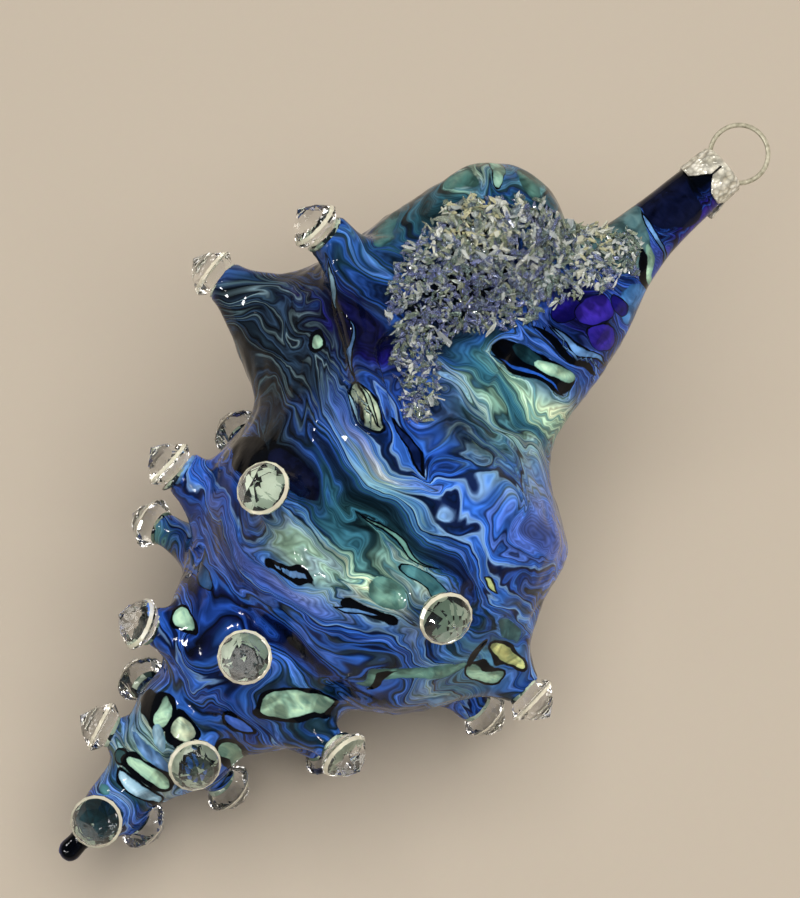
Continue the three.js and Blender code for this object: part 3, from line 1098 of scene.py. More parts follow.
BACK_STRETCH = 24.0  # mm, across a stretch of one kind of glass on the back
CLOUDS: dict[str, tuple[Cloud, ...]] = {
    "tone": (
        Cloud(4, 0, 7, 8, -3.6), Cloud(64, 18, 11, 7, -1.1), Cloud(62, -9, 3.5, 5, -1.0),
        Cloud(51.3, -3, 1.0, 13, -1.6), Cloud(76, 9, 4, 12, -0.5), Cloud(94.5, -1.5, 2.6, 9, -1.7),
        Cloud(55, 2, 5, 9, 0.2), Cloud(58, -13, 7, 7, 0.25), Cloud(87.5, -17.5, 4.8, 8, 1.9),
        Cloud(112.5, -1, 3, 8, 0.7), Cloud(39, 3, 8, 9, 0.1), Cloud(47, -6, 4, 7, 0.5),
        Cloud(25, 5, 5, 4, 0.6), Cloud(20, 1, 3, 5, 0.5),
        Cloud(61, 6, 2.5, 6, 0.5), Cloud(86, -1, 5, 8, -1.3), Cloud(90.5, 8, 3.4, 6, -1.1),
        # Painted shadow: the first cloud of the next line darkens the neck under the cap, over dark
        # glass.
        Cloud(143, 4, 8, 4.4, -3.6), Cloud(142, -4.4, 9, 3.0, 3.4),
        Cloud(51.5, 10, 4, 5, 0.6), Cloud(66, -28, 9, 5, 0.4), Cloud(110, 30, 14, 6, -0.6),
        # Painted shade: the first two clouds of the next line darken the valleys on both sides of
        # the fold.
        Cloud(87, 27, 2.6, 8, -1.6), Cloud(91.4, 22.5, 3.0, 7, -1.1), Cloud(70, 3, 3, 7, -0.6),
        # Painted shade: the next line darkens the glass under the crushed glass, so the gaps between
        # flakes look dark.
        Cloud(107, 17, 12, 7, -2.4), Cloud(118, 20, 8, 6, -1.8), Cloud(126, 15, 7, 6, -1.0),
        Cloud(88, 8, 3, 3, -1.0),
    ),
    "green": (
        Cloud(70, 0, 6, 12, 1.4), Cloud(66, -25, 10, 6, 0.8), Cloud(100, -1, 7, 9, 0.9),
        Cloud(117, 31, 16, 8, 1.3), Cloud(128, 17, 6, 7, 1.1), Cloud(127, 9, 6, 4, 0.9),
        Cloud(24, 1, 6, 6, 0.8),
        Cloud(44, -10, 5, 6, 0.7), Cloud(78, 4, 3, 10, 0.4), Cloud(93, -3, 4, 9, 0.5),
        Cloud(61, 6, 3, 7, 0.9),
    ),
    "coal": (
        Cloud(82, 33, 9.5, 12.5, 2.0), Cloud(70, 21, 4, 5, 0.9), Cloud(91.6, 3, 3.0, 8, 0.85),
    ),
    "pale": (
        Cloud(100.6, 1, 3.6, 10, 1.3), Cloud(103.4, -9, 3.4, 4, 1.0), Cloud(62, 5, 2.4, 5, 0.8),
        Cloud(120, 28, 5, 2.6, 0.5), Cloud(66, -4, 2.8, 6, 1.2), Cloud(19, 1, 4, 6, 0.85),
        Cloud(27, 4, 2.6, 4, 0.8),
        Cloud(71.5, -8, 2, 5, 0.7),
    ),
    "indigo": (
        Cloud(91.8, 23, 3.6, 9, 1.6), Cloud(118, 1, 6, 7, 1.2), Cloud(141, -4, 8, 5, 1.6),
        Cloud(62, 20, 5, 4, 0.3),
    ),
}  # fmt: skip


@dataclass(frozen=True)
class Vein:
    """A ramp of rod colours: where the flow field crosses a level, the eye sees a line."""

    blue: Stops = (
        (0.26, RODS.soot), (0.34, RODS.navy), (0.37, RODS.cobalt), (0.385, RODS.soot),
        (0.40, RODS.navy), (0.415, RODS.blue), (0.43, RODS.slate), (0.44, RODS.soot),
        (0.452, RODS.blue), (0.468, RODS.periwinkle), (0.476, RODS.ink), (0.49, RODS.cobalt),
        (0.503, RODS.ink), (0.515, RODS.blue), (0.53, RODS.cobalt), (0.537, RODS.soot),
        (0.549, RODS.ink), (0.557, RODS.sky), (0.568, RODS.blue), (0.585, RODS.blue),
        (0.597, RODS.ink), (0.61, RODS.periwinkle), (0.622, RODS.navy), (0.634, RODS.blue),
        (0.65, "#4466c2"), (0.70, "#3a54a6"),
    )  # fmt: skip
    green: Stops = (
        (0.26, RODS.soot), (0.36, RODS.pine), (0.40, RODS.teal), (0.42, RODS.soot),
        (0.44, RODS.pine), (0.455, RODS.sea), (0.475, RODS.teal), (0.49, RODS.steel),
        (0.51, RODS.sea), (0.53, RODS.pine), (0.545, RODS.soot), (0.56, RODS.moss),
        (0.59, RODS.sea), (0.61, RODS.mint), (0.66, RODS.moss), (0.70, RODS.cream),
    )  # fmt: skip
    coal: Stops = (
        (0.28, RODS.soot), (0.32, "#1c2a36"), (0.335, RODS.soot), (0.37, "#2a3c46"),
        (0.38, RODS.soot), (0.41, "#16202c"), (0.425, "#465c66"), (0.435, RODS.soot),
        (0.455, "#1b2a3c"), (0.465, RODS.slate), (0.475, RODS.soot), (0.495, "#1a2632"),
        (0.505, "#566c76"), (0.515, "#0c131c"), (0.54, RODS.slate), (0.55, RODS.soot),
        (0.57, "#24384a"), (0.58, "#627a86"), (0.59, RODS.soot), (0.62, "#2c3f55"),
        (0.64, "#4a6470"), (0.66, "#111a26"), (0.70, RODS.steel),
    )  # fmt: skip
    indigo: Stops = (
        (0.34, RODS.soot), (0.42, "#0a0c34"), (0.46, RODS.indigo), (0.48, RODS.soot),
        (0.52, "#14124a"), (0.545, RODS.cobalt), (0.56, RODS.indigo), (0.62, RODS.violet),
        (0.68, "#231c74"),
    )  # fmt: skip
    pale: Stops = (
        (0.30, RODS.pine), (0.38, RODS.teal), (0.41, RODS.sea), (0.425, RODS.pine),
        (0.44, RODS.moss), (0.46, RODS.mint), (0.475, RODS.sea), (0.49, RODS.mint),
        (0.51, RODS.cream), (0.525, RODS.mint), (0.535, RODS.teal), (0.545, RODS.moss),
        (0.57, RODS.mint), (0.60, RODS.ice), (0.62, RODS.moss), (0.66, RODS.cream),
    )  # fmt: skip


@dataclass(frozen=True)
class MarbledGlass:
    """Soft glass, marvered over coloured rods and blown.

    The eye gets a wet, even gloss over veins that run round the shell, fold back on themselves
    and part round each drop.
    """

    ior: float = 1.5
    specular: float = 0.16  # keeps the floor's reflection from veiling the flanks
    roughness: float = 0.06
    folds: tuple[tuple[float, Spot], ...] = (
        (17.0, (20.0, 8.0, 8.0)),
        (6.5, (5.0, 3.5, 3.5)),
        (2.6, (0.9, 0.7, 0.7)),
    )  # each fold's size and how far it moves the glass along a, b and w, in mm
    pull: float = 9.0  # how many times longer than wide a vein is
    band: float = 7.0  # mm, the width of a group of veins
    tone_gain: float = 0.09  # how far a tone of 1 moves the flow level, which runs from 0 to 1
    comb: float = 1.1  # mm, between the finest lines
    contour: float = 0.0065  # of the flow level, between fine lines along the veins
    fray: float = 1.6  # mm, between the frays of a drop's outline
    fray_reach: float = 0.4  # mm, how far they go
    blur: float = 0.09  # mm, half the width in which a drop's outline fades
    deep: float = 1.3  # mm in from its outline, where a drop's own colour starts
    deep_tint: Spot = (0.16, 0.34, 0.45)  # what thick glass lets through
    trail: float = 1.5  # mm, between the trails of thick glass in a drop
    trail_pull: float = 0.35  # how much they are drawn out round the shell
    pool: float = 4.0  # mm, between a drop's light and dark stretches
    rim_blur: float = 0.12  # mm, in which the dark line round a drop fades
    streak_rim: float = 0.22  # mm, the dark line round a fine streak
    waver: float = 2.6  # mm, between the small waves of the skin
    waver_height: float = 0.17  # mm, that they stand up
    waver_strength: float = 0.7

    def dress(self, piece: Piece) -> None:
        """Makes the material and gives it to the glass.

        Args:
            piece: The glass, which carries its marbling's layout as attributes.
        """
        mix = Recipe("marbled_blown_glass")
        colour = self.veins(mix)
        for layer in range(LAYERS):
            edge, rim = (
                mix.add("Attribute", out="Fac", attribute_name=f"drop_{part}_{layer}")
                for part in ("edge", "rim")
            )
            colour = self.drops(mix, colour, f"drop_colour_{layer}", edge, rim)
        across = mix.add("Attribute", out="Fac", attribute_name="streak_across")
        half = mix.add("Attribute", out="Fac", attribute_name="streak_half")
        across = mix.add("Math", {0: across}, operation="ABSOLUTE")
        edge = mix.add("Math", {0: across, 1: half}, operation="SUBTRACT")
        colour = self.drops(mix, colour, "streak_colour", edge, self.streak_rim)
        place = mix.add("Attribute", out="Vector", attribute_name="shell_mm")
        wave = mix.add("TexNoise", {"Vector": place, "Scale": 1 / self.waver, "Detail": 2.0})
        height = {"Strength": self.waver_strength, "Distance": self.waver_height * MM}
        mix.feed(
            Base_Color=colour,
            Metallic=0.0,
            Roughness=self.roughness,
            IOR=self.ior,
            Specular_IOR_Level=self.specular,
            Normal=mix.add("Bump", {"Height": wave, **height}),
        )
        piece.data.materials.append(mix.material)

    def veins(self, mix: Recipe) -> Any:
        """Draws the veins: a stretched field, folded three times and coloured by level.

        Args:
            mix: The material being made.

        Returns:
            The veins' colour.
        """
        place = mix.add("Attribute", out="Vector", attribute_name="flow_mm")
        for size, shift in self.folds:
            grain = {"Vector": place, "Scale": 1 / size, "Detail": 1.0}
            swirl = mix.add("TexNoise", grain, out="Color")
            middled = mix.add("VectorMath", {0: swirl, 1: (0.5, 0.5, 0.5)}, operation="SUBTRACT")
            moved = mix.add("VectorMath", {0: middled, 1: shift}, operation="MULTIPLY")
            place = mix.add("VectorMath", {0: place, 1: moved}, operation="ADD")
        along = (1.0, 1 / self.pull, 1 / self.pull)
        drawn = mix.add("VectorMath", {0: place, 1: along}, operation="MULTIPLY")
        grain = {"Vector": drawn, "Scale": 1 / self.band, "Detail": 2.0, "Roughness": 0.5}
        level = mix.add("TexNoise", grain)
        tone = mix.add("Attribute", out="Fac", attribute_name="tone")
        shifted = {0: tone, 1: self.tone_gain, 2: level}
        level = mix.add("Math", shifted, operation="MULTIPLY_ADD")
        ramps = Vein()
        colour = mix.add("ValToRGB", {"Fac": level}, stops=ramps.blue)
        for family in ("green", "coal", "indigo", "pale"):
            share = mix.add("Attribute", out="Fac", attribute_name=family)
            other = mix.add("ValToRGB", {"Fac": level}, stops=getattr(ramps, family))
            colour = mix.add("Mix", {0: share, 6: colour, 7: other}, **COLOURS)
        grain = {"Vector": drawn, "Scale": 1 / self.comb, "Detail": 2.0, "Roughness": 0.6}
        fine = mix.add("TexNoise", grain)
        shade = mix.add("MapRange", {"Value": fine, **levels(0.36, 0.64, 0.55, 1.4)})
        lines = mix.add("Math", {0: level, 1: self.contour}, operation="PINGPONG")
        lines = mix.add("MapRange", {"Value": lines, **levels(0.0, self.contour, 0.62, 1.22)})
        shade = mix.add("Math", {0: shade, 1: lines}, operation="MULTIPLY")
        return mix.add("VectorMath", {0: colour, "Scale": shade}, operation="SCALE")

    def drops(self, mix: Recipe, ground: Any, glass: str, edge: Any, rim: Any) -> Any:
        """Lays one layer of drops over what is under it.

        Args:
            mix: The material being made.
            ground: The colour of what is under the drops.
            glass: The name of the attribute with the drops' colours.
            edge: How far each point is from a drop's outline, negative inside.
            rim: How wide the dark line round the drop is.

        Returns:
            The colour with the drops, each with its dark line and a deeper edge.
        """
        place = mix.add("Attribute", out="Vector", attribute_name="shell_mm")
        paint = mix.add("Attribute", out="Color", attribute_name=glass)
        # A frayed outline, with a deep edge inside it where the drop is thickest.
        fray = mix.add("TexNoise", {"Vector": place, "Scale": 1 / self.fray, "Detail": 2.0})
        fray = mix.add("Math", {0: fray, 1: 0.5}, operation="SUBTRACT")
        edge = mix.add("Math", {0: fray, 1: self.fray_reach, 2: edge}, operation="MULTIPLY_ADD")
        depth = mix.add("MapRange", {"Value": edge, **levels(0.0, -self.deep, 0.75, 0.0)})
        # Trails of thick glass, drawn out round the shell.
        along = (1.0, self.trail_pull, self.trail_pull)
        trail = mix.add("VectorMath", {0: place, 1: along}, operation="MULTIPLY")
        grain = {"Vector": trail, "Scale": 1 / self.trail, "Detail": 3.0, "Distortion": 1.2}
        trail = mix.add("TexNoise", grain)
        trail = mix.add("MapRange", {"Value": trail, **levels(0.35, 0.7, 0.0, 0.7)})
        share = mix.add("Math", {0: depth, 1: trail}, operation="MAXIMUM")
        # Light and dark stretches in the drop's own colour.
        grain = {"Vector": place, "Scale": 1 / self.pool, "Detail": 2.0, "Distortion": 0.8}
        pool = mix.add("TexNoise", grain)
        body = mix.add("MapRange", {"Value": pool, **levels(0.4, 0.6, 0.45, 1.3)})
        paint = mix.add("VectorMath", {0: paint, "Scale": body}, operation="SCALE")
        deep = mix.add("VectorMath", {0: paint, 1: self.deep_tint}, operation="MULTIPLY")
        tint = mix.add("Mix", {0: share, 6: paint, 7: deep}, **COLOURS)
        inside = mix.add("MapRange", {"Value": edge, **levels(self.blur, -self.blur, 0.0, 1.0)})
        # The dark line along the outline.
        line = mix.add("Math", {0: edge}, operation="ABSOLUTE")
        line = mix.add("Math", {0: rim, 1: line}, operation="SUBTRACT")
        line = mix.add("MapRange", {"Value": line, **levels(0.0, self.rim_blur, 0.0, 1.0)})
        colour = mix.add("Mix", {0: inside, 6: ground, 7: tint}, **COLOURS)
        return mix.add("Mix", {0: line, 6: colour, 7: linear(RODS.soot)}, **COLOURS)


@dataclass(frozen=True)
class CutCrystal:
    """Clear lead-free crystal, ground and polished, with a ground girdle.

    Its high index bends what is behind it into dark and bright wedges, inside a pale ring.
    """

    ior: float = 1.6
    ring: float = 3.7  # mm, the radius outside which the stone was left ground
    crown: float = 1.86  # mm above its table, where the ground ring starts
    polished: str = "#fafbfa"
    ground: str = "#f8f3dc"
    ground_roughness: float = 0.25
    ground_haze: float = 0.5  # how much less light the ground ring lets through

    def dress(self, mesh: bpy.types.Mesh) -> None:
        """Makes the material: polished facets, and a frosted ring where the stone was ground.

        Args:
            mesh: The stone's mesh, which gets it.
        """
        mix = Recipe("polished_cut_crystal")
        place = mix.add("TexCoord", out="Object")
        flat = mix.add("VectorMath", {0: place, 1: (1 / MM, 1 / MM, 0.0)}, operation="MULTIPLY")
        radius = mix.add("VectorMath", {0: flat}, out="Value", operation="LENGTH")
        outer = mix.add("Math", {0: radius, 1: self.ring}, operation="GREATER_THAN")
        height = mix.add("SeparateXYZ", {0: place}, out="Z")
        above = mix.add("Math", {0: height, 1: self.crown * MM}, operation="GREATER_THAN")
        ground = mix.add("Math", {0: outer, 1: above}, operation="MULTIPLY")
        tints = {6: linear(self.polished), 7: linear(self.ground)}
        dull = {0: ground, 1: self.ground_roughness}
        clear = {0: ground, 1: -self.ground_haze, 2: 1.0}
        mix.feed(
            Base_Color=mix.add("Mix", {0: ground, **tints}, **COLOURS),
            Roughness=mix.add("Math", dull, operation="MULTIPLY"),
            Transmission_Weight=mix.add("Math", clear, operation="MULTIPLY_ADD"),
            IOR=self.ior,
        )
        mesh.materials.append(mix.material)


@dataclass(frozen=True)
class CuredEpoxy:
    """Clear epoxy glue, cured in a low bead.

    Glossy and only a little see-through, it carries painted dark and pale shards at each stone's
    foot, which stand in for what the stone's facets reflect and bend.
    """

    ior: float = 1.5
    roughness: float = 0.08
    clear: float = 0.15
    painted_shard: float = 1.5  # mm, across one painted shard
    # Painted reflection: the shards' tones, from near black to pale.
    tones: Stops = ((0.0, "#0c1315"), (0.34, "#1c282c"), (0.46, "#5f7668"), (0.9, "#b9c8b4"))

    def dress(self, piece: Piece) -> None:
        """Makes the material and gives it to the beads.

        Args:
            piece: The beads.
        """
        mix = Recipe("clear_cured_epoxy")
        # Painted reflection: Voronoi cells give the dark and pale shards.
        grain = {"Vector": mix.add("TexCoord", out="Object"), "Scale": 1 / (self.painted_shard * MM)}
        cells = mix.add("TexVoronoi", grain, out="Color")
        shade = mix.add("SeparateColor", {0: cells})
        mix.feed(
            Base_Color=mix.add("ValToRGB", {"Fac": shade}, stops=self.tones),
            Roughness=self.roughness,
            Transmission_Weight=self.clear,
            IOR=self.ior,
        )
        piece.data.materials.append(mix.material)


@dataclass(frozen=True)
class CrushedGlassGrit:
    """Clear bottle glass, crushed and sieved to flakes of 1 to 2 mm.

    Each flake is milky on its broken faces and glints at one angle, with dark gaps between.
    """

    ior: float = 1.5
    pitting: float = 0.7  # mm, between the dull and the bright spots of a broken face
    tones: Stops = (
        (0.0, "#a2ade0"), (0.2, "#bac5ea"), (0.35, "#a2b8b2"), (0.5, "#acb69c"),
        (0.6, "#cdd6d8"), (0.72, "#e6eae4"), (0.85, "#cccba4"), (1.0, "#e2e0c6"),
    )  # fmt: skip

    def dress(self, piece: Piece) -> None:
        """Makes the material, whose tone varies from flake to flake.

        Args:
            piece: The flakes, which carry their tones as an attribute.
        """
        mix = Recipe("crushed_clear_glass")
        tone = mix.add("Attribute", out="Fac", attribute_name="flake_tone")
        place = mix.add("TexCoord", out="Object")
        grain = {"Vector": place, "Scale": 1 / (self.pitting * MM), "Detail": 3.0}
        pits = mix.add("TexNoise", grain)
        mix.feed(
            Base_Color=mix.add("ValToRGB", {"Fac": tone}, stops=self.tones),
            Roughness=mix.add("MapRange", {"Value": pits, **levels(0.35, 0.7, 0.04, 0.3)}),
            Transmission_Weight=mix.add(
                "MapRange", {"Value": tone, **levels(0.3, 0.75, 0.9, 0.55)}
            ),
            IOR=self.ior,
        )
        piece.data.materials.append(mix.material)


@dataclass(frozen=True)
class StampedFoil:
    """Thin tinplate, silvered and stamped with a crinkled pattern.

    The crinkle breaks each reflection into small bright and dull facets.
    """

    tones: Stops = ((0.3, "#cdcab8"), (0.55, "#f4f1e2"), (0.8, "#fbfaf4"))
    metallic: float = 0.42
    roughness: float = 0.28
    crinkle: float = 0.9  # mm, across one facet of the pattern
    crinkle_height: float = 0.5  # mm
    tarnish: float = 2.4  # mm, across one dull patch

    def dress(self, piece: Piece) -> None:
        """Makes the material and gives it to the cap.

        Args:
            piece: The cap.
        """
        mix = Recipe("stamped_silvered_tinplate")
        place = mix.add("TexCoord", out="Object")
        grain = {"Vector": place, "Scale": 1 / (self.crinkle * MM)}
        cells = mix.add("TexVoronoi", grain, out="Distance")
        grain = {"Vector": place, "Scale": 1 / (self.tarnish * MM), "Detail": 4.0}
        tarnish = mix.add("TexNoise", grain)
        tone = mix.add("ValToRGB", {"Fac": tarnish}, stops=self.tones)
        # Painted shade: the colour is darkened along the lines between the crinkle's facets.
        crease = mix.add("MapRange", {"Value": cells, **levels(0.35, 0.75, 1.0, 0.55)})
        tone = mix.add("VectorMath", {0: tone, "Scale": crease}, operation="SCALE")
        relief = {"Height": cells, "Strength": 1.0, "Distance": self.crinkle_height * MM}
        mix.feed(
            Base_Color=tone,
            Metallic=self.metallic,
            Roughness=self.roughness,
            Normal=mix.add("Bump", relief),
        )
        piece.data.materials.append(mix.material)


@dataclass(frozen=True)
class DrawnWire:
    """Steel wire, drawn and tinned: a soft sheen, dull enough to look pale grey all round."""

    tones: Stops = ((0.3, "#8d8a76"), (0.6, "#bdb9a4"), (0.8, "#d6d3c3"))
    metallic: float = 0.4
    roughness: float = 0.45
    marks: float = 0.65  # mm, along the wire: real die marks are finer than a render can show

    def dress(self, piece: Piece) -> None:
        """Makes the material and gives it to the wire.

        Args:
            piece: The wire.
        """
        mix = Recipe("drawn_tinned_wire")
        place = mix.add("TexCoord", out="Object")
        grain = {"Vector": place, "Scale": 1 / (self.marks * MM), "Detail": 3.0}
        tone = mix.add("ValToRGB", {"Fac": mix.add("TexNoise", grain)}, stops=self.tones)
        mix.feed(Base_Color=tone, Metallic=self.metallic, Roughness=self.roughness)
        piece.data.materials.append(mix.material)


@dataclass(frozen=True)
class PlainTabletop:
    """Matt laminate, pale and warm: it shows only the ornament's soft shadow."""

    colour: str = "#a69d90"
    roughness: float = 0.8
    fleck: float = 1.4  # mm, across one speck of the print
    fleck_share: float = 0.03

    def dress(self, piece: Piece) -> None:
        """Makes the material and gives it to the tabletop.

        Args:
            piece: The tabletop.
        """
        mix = Recipe("matt_pale_laminate")
        place = mix.add("TexCoord", out="Object")
        grain = {"Vector": place, "Scale": 1 / (self.fleck * MM), "Detail": 3.0}
        fleck = mix.add("TexNoise", grain, out="Color")
        print_over = {0: self.fleck_share, 6: linear(self.colour), 7: fleck}
        tone = mix.add("Mix", print_over, blend_type="MULTIPLY", **COLOURS)
        mix.feed(Base_Color=tone, Roughness=self.roughness)
        piece.data.materials.append(mix.material)


# ---- sub-assemblies


@dataclass
class GlassShell:
    """The blown body with its lip and spines, in one piece of marbled glass."""

    form: BlownForm
    lie: Lie
    finish: MarbledGlass = field(default_factory=MarbledGlass)
    pitch: float = 0.53  # the net's spacing
    quick_pitch: float = 1.1  # a coarser spacing for the net
    bend_along: Ripples = ((31, 7.5, 0.5), (32, 2.8, 0.08))  # makes the drops uneven along a
    bend_across: Ripples = ((33, 9.0, 0.7), (34, 3.2, 0.08))  # and along b
    spatter: int = 34  # how many chance drops the back has

    def build(self) -> Piece:
        """Makes the glass and paints its marbling.

        Returns:
            The glass, dressed and installed.
        """
        pitch = self.pitch
        points, faces = skin_of(self.form, pitch)
        points = self.form.settle(points)
        piece = mesh_object("marbled_glass_shell", self.lie.place(points), faces, True)
        self.paint(piece, points)
        self.finish.dress(piece)
        install(piece, "marbled_glass", ["glass_shell"])
        return piece

    def paint(self, piece: Piece, points: Array) -> None:
        """Writes the marbling's layout to the mesh.

        Args:
            piece: The glass.
            points: Its vertices in the shell's frame, in millimetres.
        """
        a, b, w = points.T
        bend_a, bend_b = a.copy(), b.copy()
        for bend, ripples in ((bend_a, self.bend_along), (bend_b, self.bend_across)):
            for seed, length, reach in ripples:
                bend += reach * Ripple(seed, length).at(a, b, w)
        drops = [*DROPS, *self.chance_drops()]
        flow = points.copy()
        for drop in drops:
            push_a, push_b = drop.push(bend_a, bend_b, w)
            flow[:, 0] += push_a
            flow[:, 1] += push_b
        broad = [drop for drop in drops if not drop.thin]
        thicken = np.clip(1 + 0.25 * Ripple(35, 4.0).at(a, b, w), 0.3, 1.5)
        for number, layer in enumerate(layered(broad)):
            edge, rims, colour = self.drop_layer(layer, bend_a, bend_b, w)
            carry(
                piece,
                {
                    f"drop_edge_{number}": edge,
                    f"drop_rim_{number}": rims * thicken,
                    f"drop_colour_{number}": colour,
                },
            )
        streaks = [drop for drop in drops if drop.thin]
        carry(piece, self.streak_layer(streaks, bend_a, bend_b, w))
        carry(piece, self.shares(a, b, w))
        carry(piece, {"shell_mm": points, "flow_mm": flow})

    @staticmethod
    def drop_layer(layer: Sequence[Drop], a: Array, b: Array, w: Array) -> tuple[Array, ...]:
        """Works out one layer of drops.

        Args:
            layer: The drops, none of which touch.
            a, b, w: Each point's place in the shell's frame.

        Returns:
            The distance from the nearest drop's outline, and that drop's rim and colour.
        """
        nearest = np.full(len(a), FAR)
        rims = np.zeros(len(a))
        colour = np.zeros((len(a), 4))
        for drop in layer:
            edge = drop.edge(a, b, w)
            closer = edge < nearest
            nearest = np.where(closer, edge, nearest)
            rims[closer] = drop.rim
            colour[closer] = linear(drop.colour)
        return nearest, rims, colour

    @staticmethod
    def streak_layer(streaks: Sequence[Drop], a: Array, b: Array, w: Array) -> dict[str, Array]:
        """Works out the streaks, which are finer than the net.

        Args:
            streaks: The streaks.
            a, b, w: Each point's place in the shell's frame.

        Returns:
            By attribute name, how far each point is across the nearest streak's middle line,
            half that streak's width there, and its colour.
        """
        middle, half = np.full(len(a), FAR), np.full(len(a), -FAR)
        colour = np.zeros((len(a), 4))
        for drop in streaks:
            across, width = drop.cross(a, b, w)
            closer = np.abs(across) - width < np.abs(middle) - half
            middle = np.where(closer, across, middle)
            half = np.where(closer, width, half)
            colour[closer] = linear(drop.colour)
        return {"streak_across": middle, "streak_half": half, "streak_colour": colour}

    @staticmethod
    def shares(a: Array, b: Array, w: Array) -> dict[str, Array]:
        """Works out where each kind of glass takes over.

        It is placed on the aperture's side and left to chance on the back.

        Args:
            a, b, w: Each point's place in the shell's frame.

        Returns:
            By attribute name, each kind's share from 0 to 1, and the tone, which has no limits.
        """
        values = {}
        front = np.clip(w / 4 + 0.5, 0, 1)
        for seed, (name, clouds) in enumerate(CLOUDS.items(), 50):
            placed = sum(cloud.at(a, b) for cloud in clouds)
            loose = Ripple(seed, BACK_STRETCH).at(a, b, w)
            loose = loose * 0.9 if name == "tone" else np.clip(loose * 1.5 - 0.8, 0, 1)
            values[name] = placed * front + loose * (1 - front)
            if name != "tone":
                values[name] = np.clip(values[name], 0, 1)
        return values

    def chance_drops(self) -> list[Drop]:
        """Spatters small drops over the back by chance.

        Returns:
            The drops.
        """
        rng = np.random.default_rng(21)
        rods = (RODS.teal, RODS.sea, RODS.sky, RODS.mint, RODS.violet, RODS.ice, RODS.soot)
        drops = []
        for _ in range(self.spatter):
            station = rng.uniform(14, 128)
            room = float(np.interp(station, *np.array(self.form.body.profile).T))
            size = rng.uniform(0.6, 1.9)
            drops.append(
                Drop(
                    station,
                    rng.uniform(-0.8, 0.8) * room,
                    size,
                    size * rng.uniform(1.4, 3.2),
                    rng.normal(0, 18),
                    rods[rng.integers(len(rods))],
                    rng.choice((0.0, 0.25, 0.4)),
                    Side.BACK,
                )
            )
        return drops


@dataclass
class Stones:
    """The back-pointed stones, each glued by its table to the seat of a spine."""

    seats: dict[str, StoneSeat]
    finish: CutCrystal = field(default_factory=CutCrystal)
    table: float = 2.7  # the radius of its flat table, in millimetres
    # How much wider and higher the ring of corners next to the table is.
    star: tuple[float, float] = (0.62, 0.52)
    girdle: float = 4.15  # its widest radius
    crown: float = 1.5  # the height of that above the table
    band: float = 0.35  # how high its girdle is
    # The radius and height of the ring of corners near its point.
    pavilion: tuple[float, float] = (2.45, 4.0)
    height: float = STONE_HEIGHT  # the height of its point

    def cut(self) -> bpy.types.Mesh:
        """Cuts one stone about +Z, its table at the origin, in metres.

        Returns:
            Its mesh, whose facets are flat.
        """

        def ring(count: int, radius: float, height: float, offset: float) -> list[Vector]:
            """A level ring of corners, turned by a share of the step between two of them."""
            turns = [2 * math.pi * (i + offset) / count for i in range(count)]
            return [Vector((radius * math.cos(t), radius * math.sin(t), height)) * MM for t in turns]

        points = [
            *ring(8, self.table, 0.0, 0.5),
            *ring(8, self.table + self.star[0], self.star[1], 0.0),
            *ring(16, self.girdle, self.crown, 0.0),
            *ring(16, self.girdle, self.crown + self.band, 0.0),
            *ring(8, *self.pavilion, 0.5),
            Vector((0, 0, self.height)) * MM,
        ]
        shape = bmesh.new()
        for point in points:
            shape.verts.new(point)
        bmesh.ops.convex_hull(shape, input=shape.verts)
        bmesh.ops.dissolve_limit(
            shape, angle_limit=math.radians(1.0), verts=shape.verts, edges=shape.edges
        )
        bmesh.ops.recalc_face_normals(shape, faces=shape.faces)
        mesh = bpy.data.meshes.new("cut_stone")
        shape.to_mesh(mesh)
        shape.free()
        return mesh

    def build(self) -> None:
        """Sets every stone on its seat, each turned by its own small chance amount."""
        rng = np.random.default_rng(4)
        mesh = self.cut()
        self.finish.dress(mesh)
        for name, seat in sorted(self.seats.items()):
            way = Vector(seat.culet - seat.table).normalized()
            turn = way.to_track_quat("Z", "Y") @ Quaternion((0, 0, 1), rng.uniform(0, math.pi / 4))
            piece = bpy.data.objects.new(f"crystal_{name}", mesh.copy())
            piece.data.name = f"crystal_{name}"
            piece.matrix_world = Matrix.LocRotScale(Vector(seat.table * MM), turn, None)
            bpy.context.scene.collection.objects.link(piece)
            install(piece, "cut_crystal", [f"stone_{name}"])


@dataclass
class GlueBeads:
    """The clear glue between each spine's seat and its stone."""

    form: BlownForm
    lie: Lie
    gap: float = GAP  # the thickness of the bead
    table: float = 2.72  # its radius under the stone
    least: float = 2.6  # the least radius of its middle
    sides: int = 24  # how many sides a bead has

    def build(self) -> None:
        """Makes all the beads as one piece of low lathe-turned discs."""
        vertices, faces = [], []
        for spine in self.form.spines:
            foot, way, length = spine.line(self.form.body)
            seat = foot + way * length
            side = np.cross(way, (0.3, 0.5, 0.8))
            side /= np.linalg.norm(side)
            other = np.cross(way, side)
            profile = (
                (-0.5, spine.tip - 0.6),
                (-0.15, spine.tip - 0.05),
                (self.gap * 0.6, max(spine.tip, self.least) + 0.05),
                (self.gap + 0.05, self.table),
            )
            base = len(vertices)
            for height, radius in profile:
                for i in range(self.sides):
                    t = 2 * math.pi * i / self.sides
                    out = side * math.cos(t) + other * math.sin(t)
                    vertices.append(seat + way * height + out * radius)
            faces += tube_faces(len(profile), self.sides, base)
        piece = mesh_object("stone_glue", self.lie.place(np.array(vertices)), faces, True)
        CuredEpoxy().dress(piece)
        install(piece, "cut_crystal")


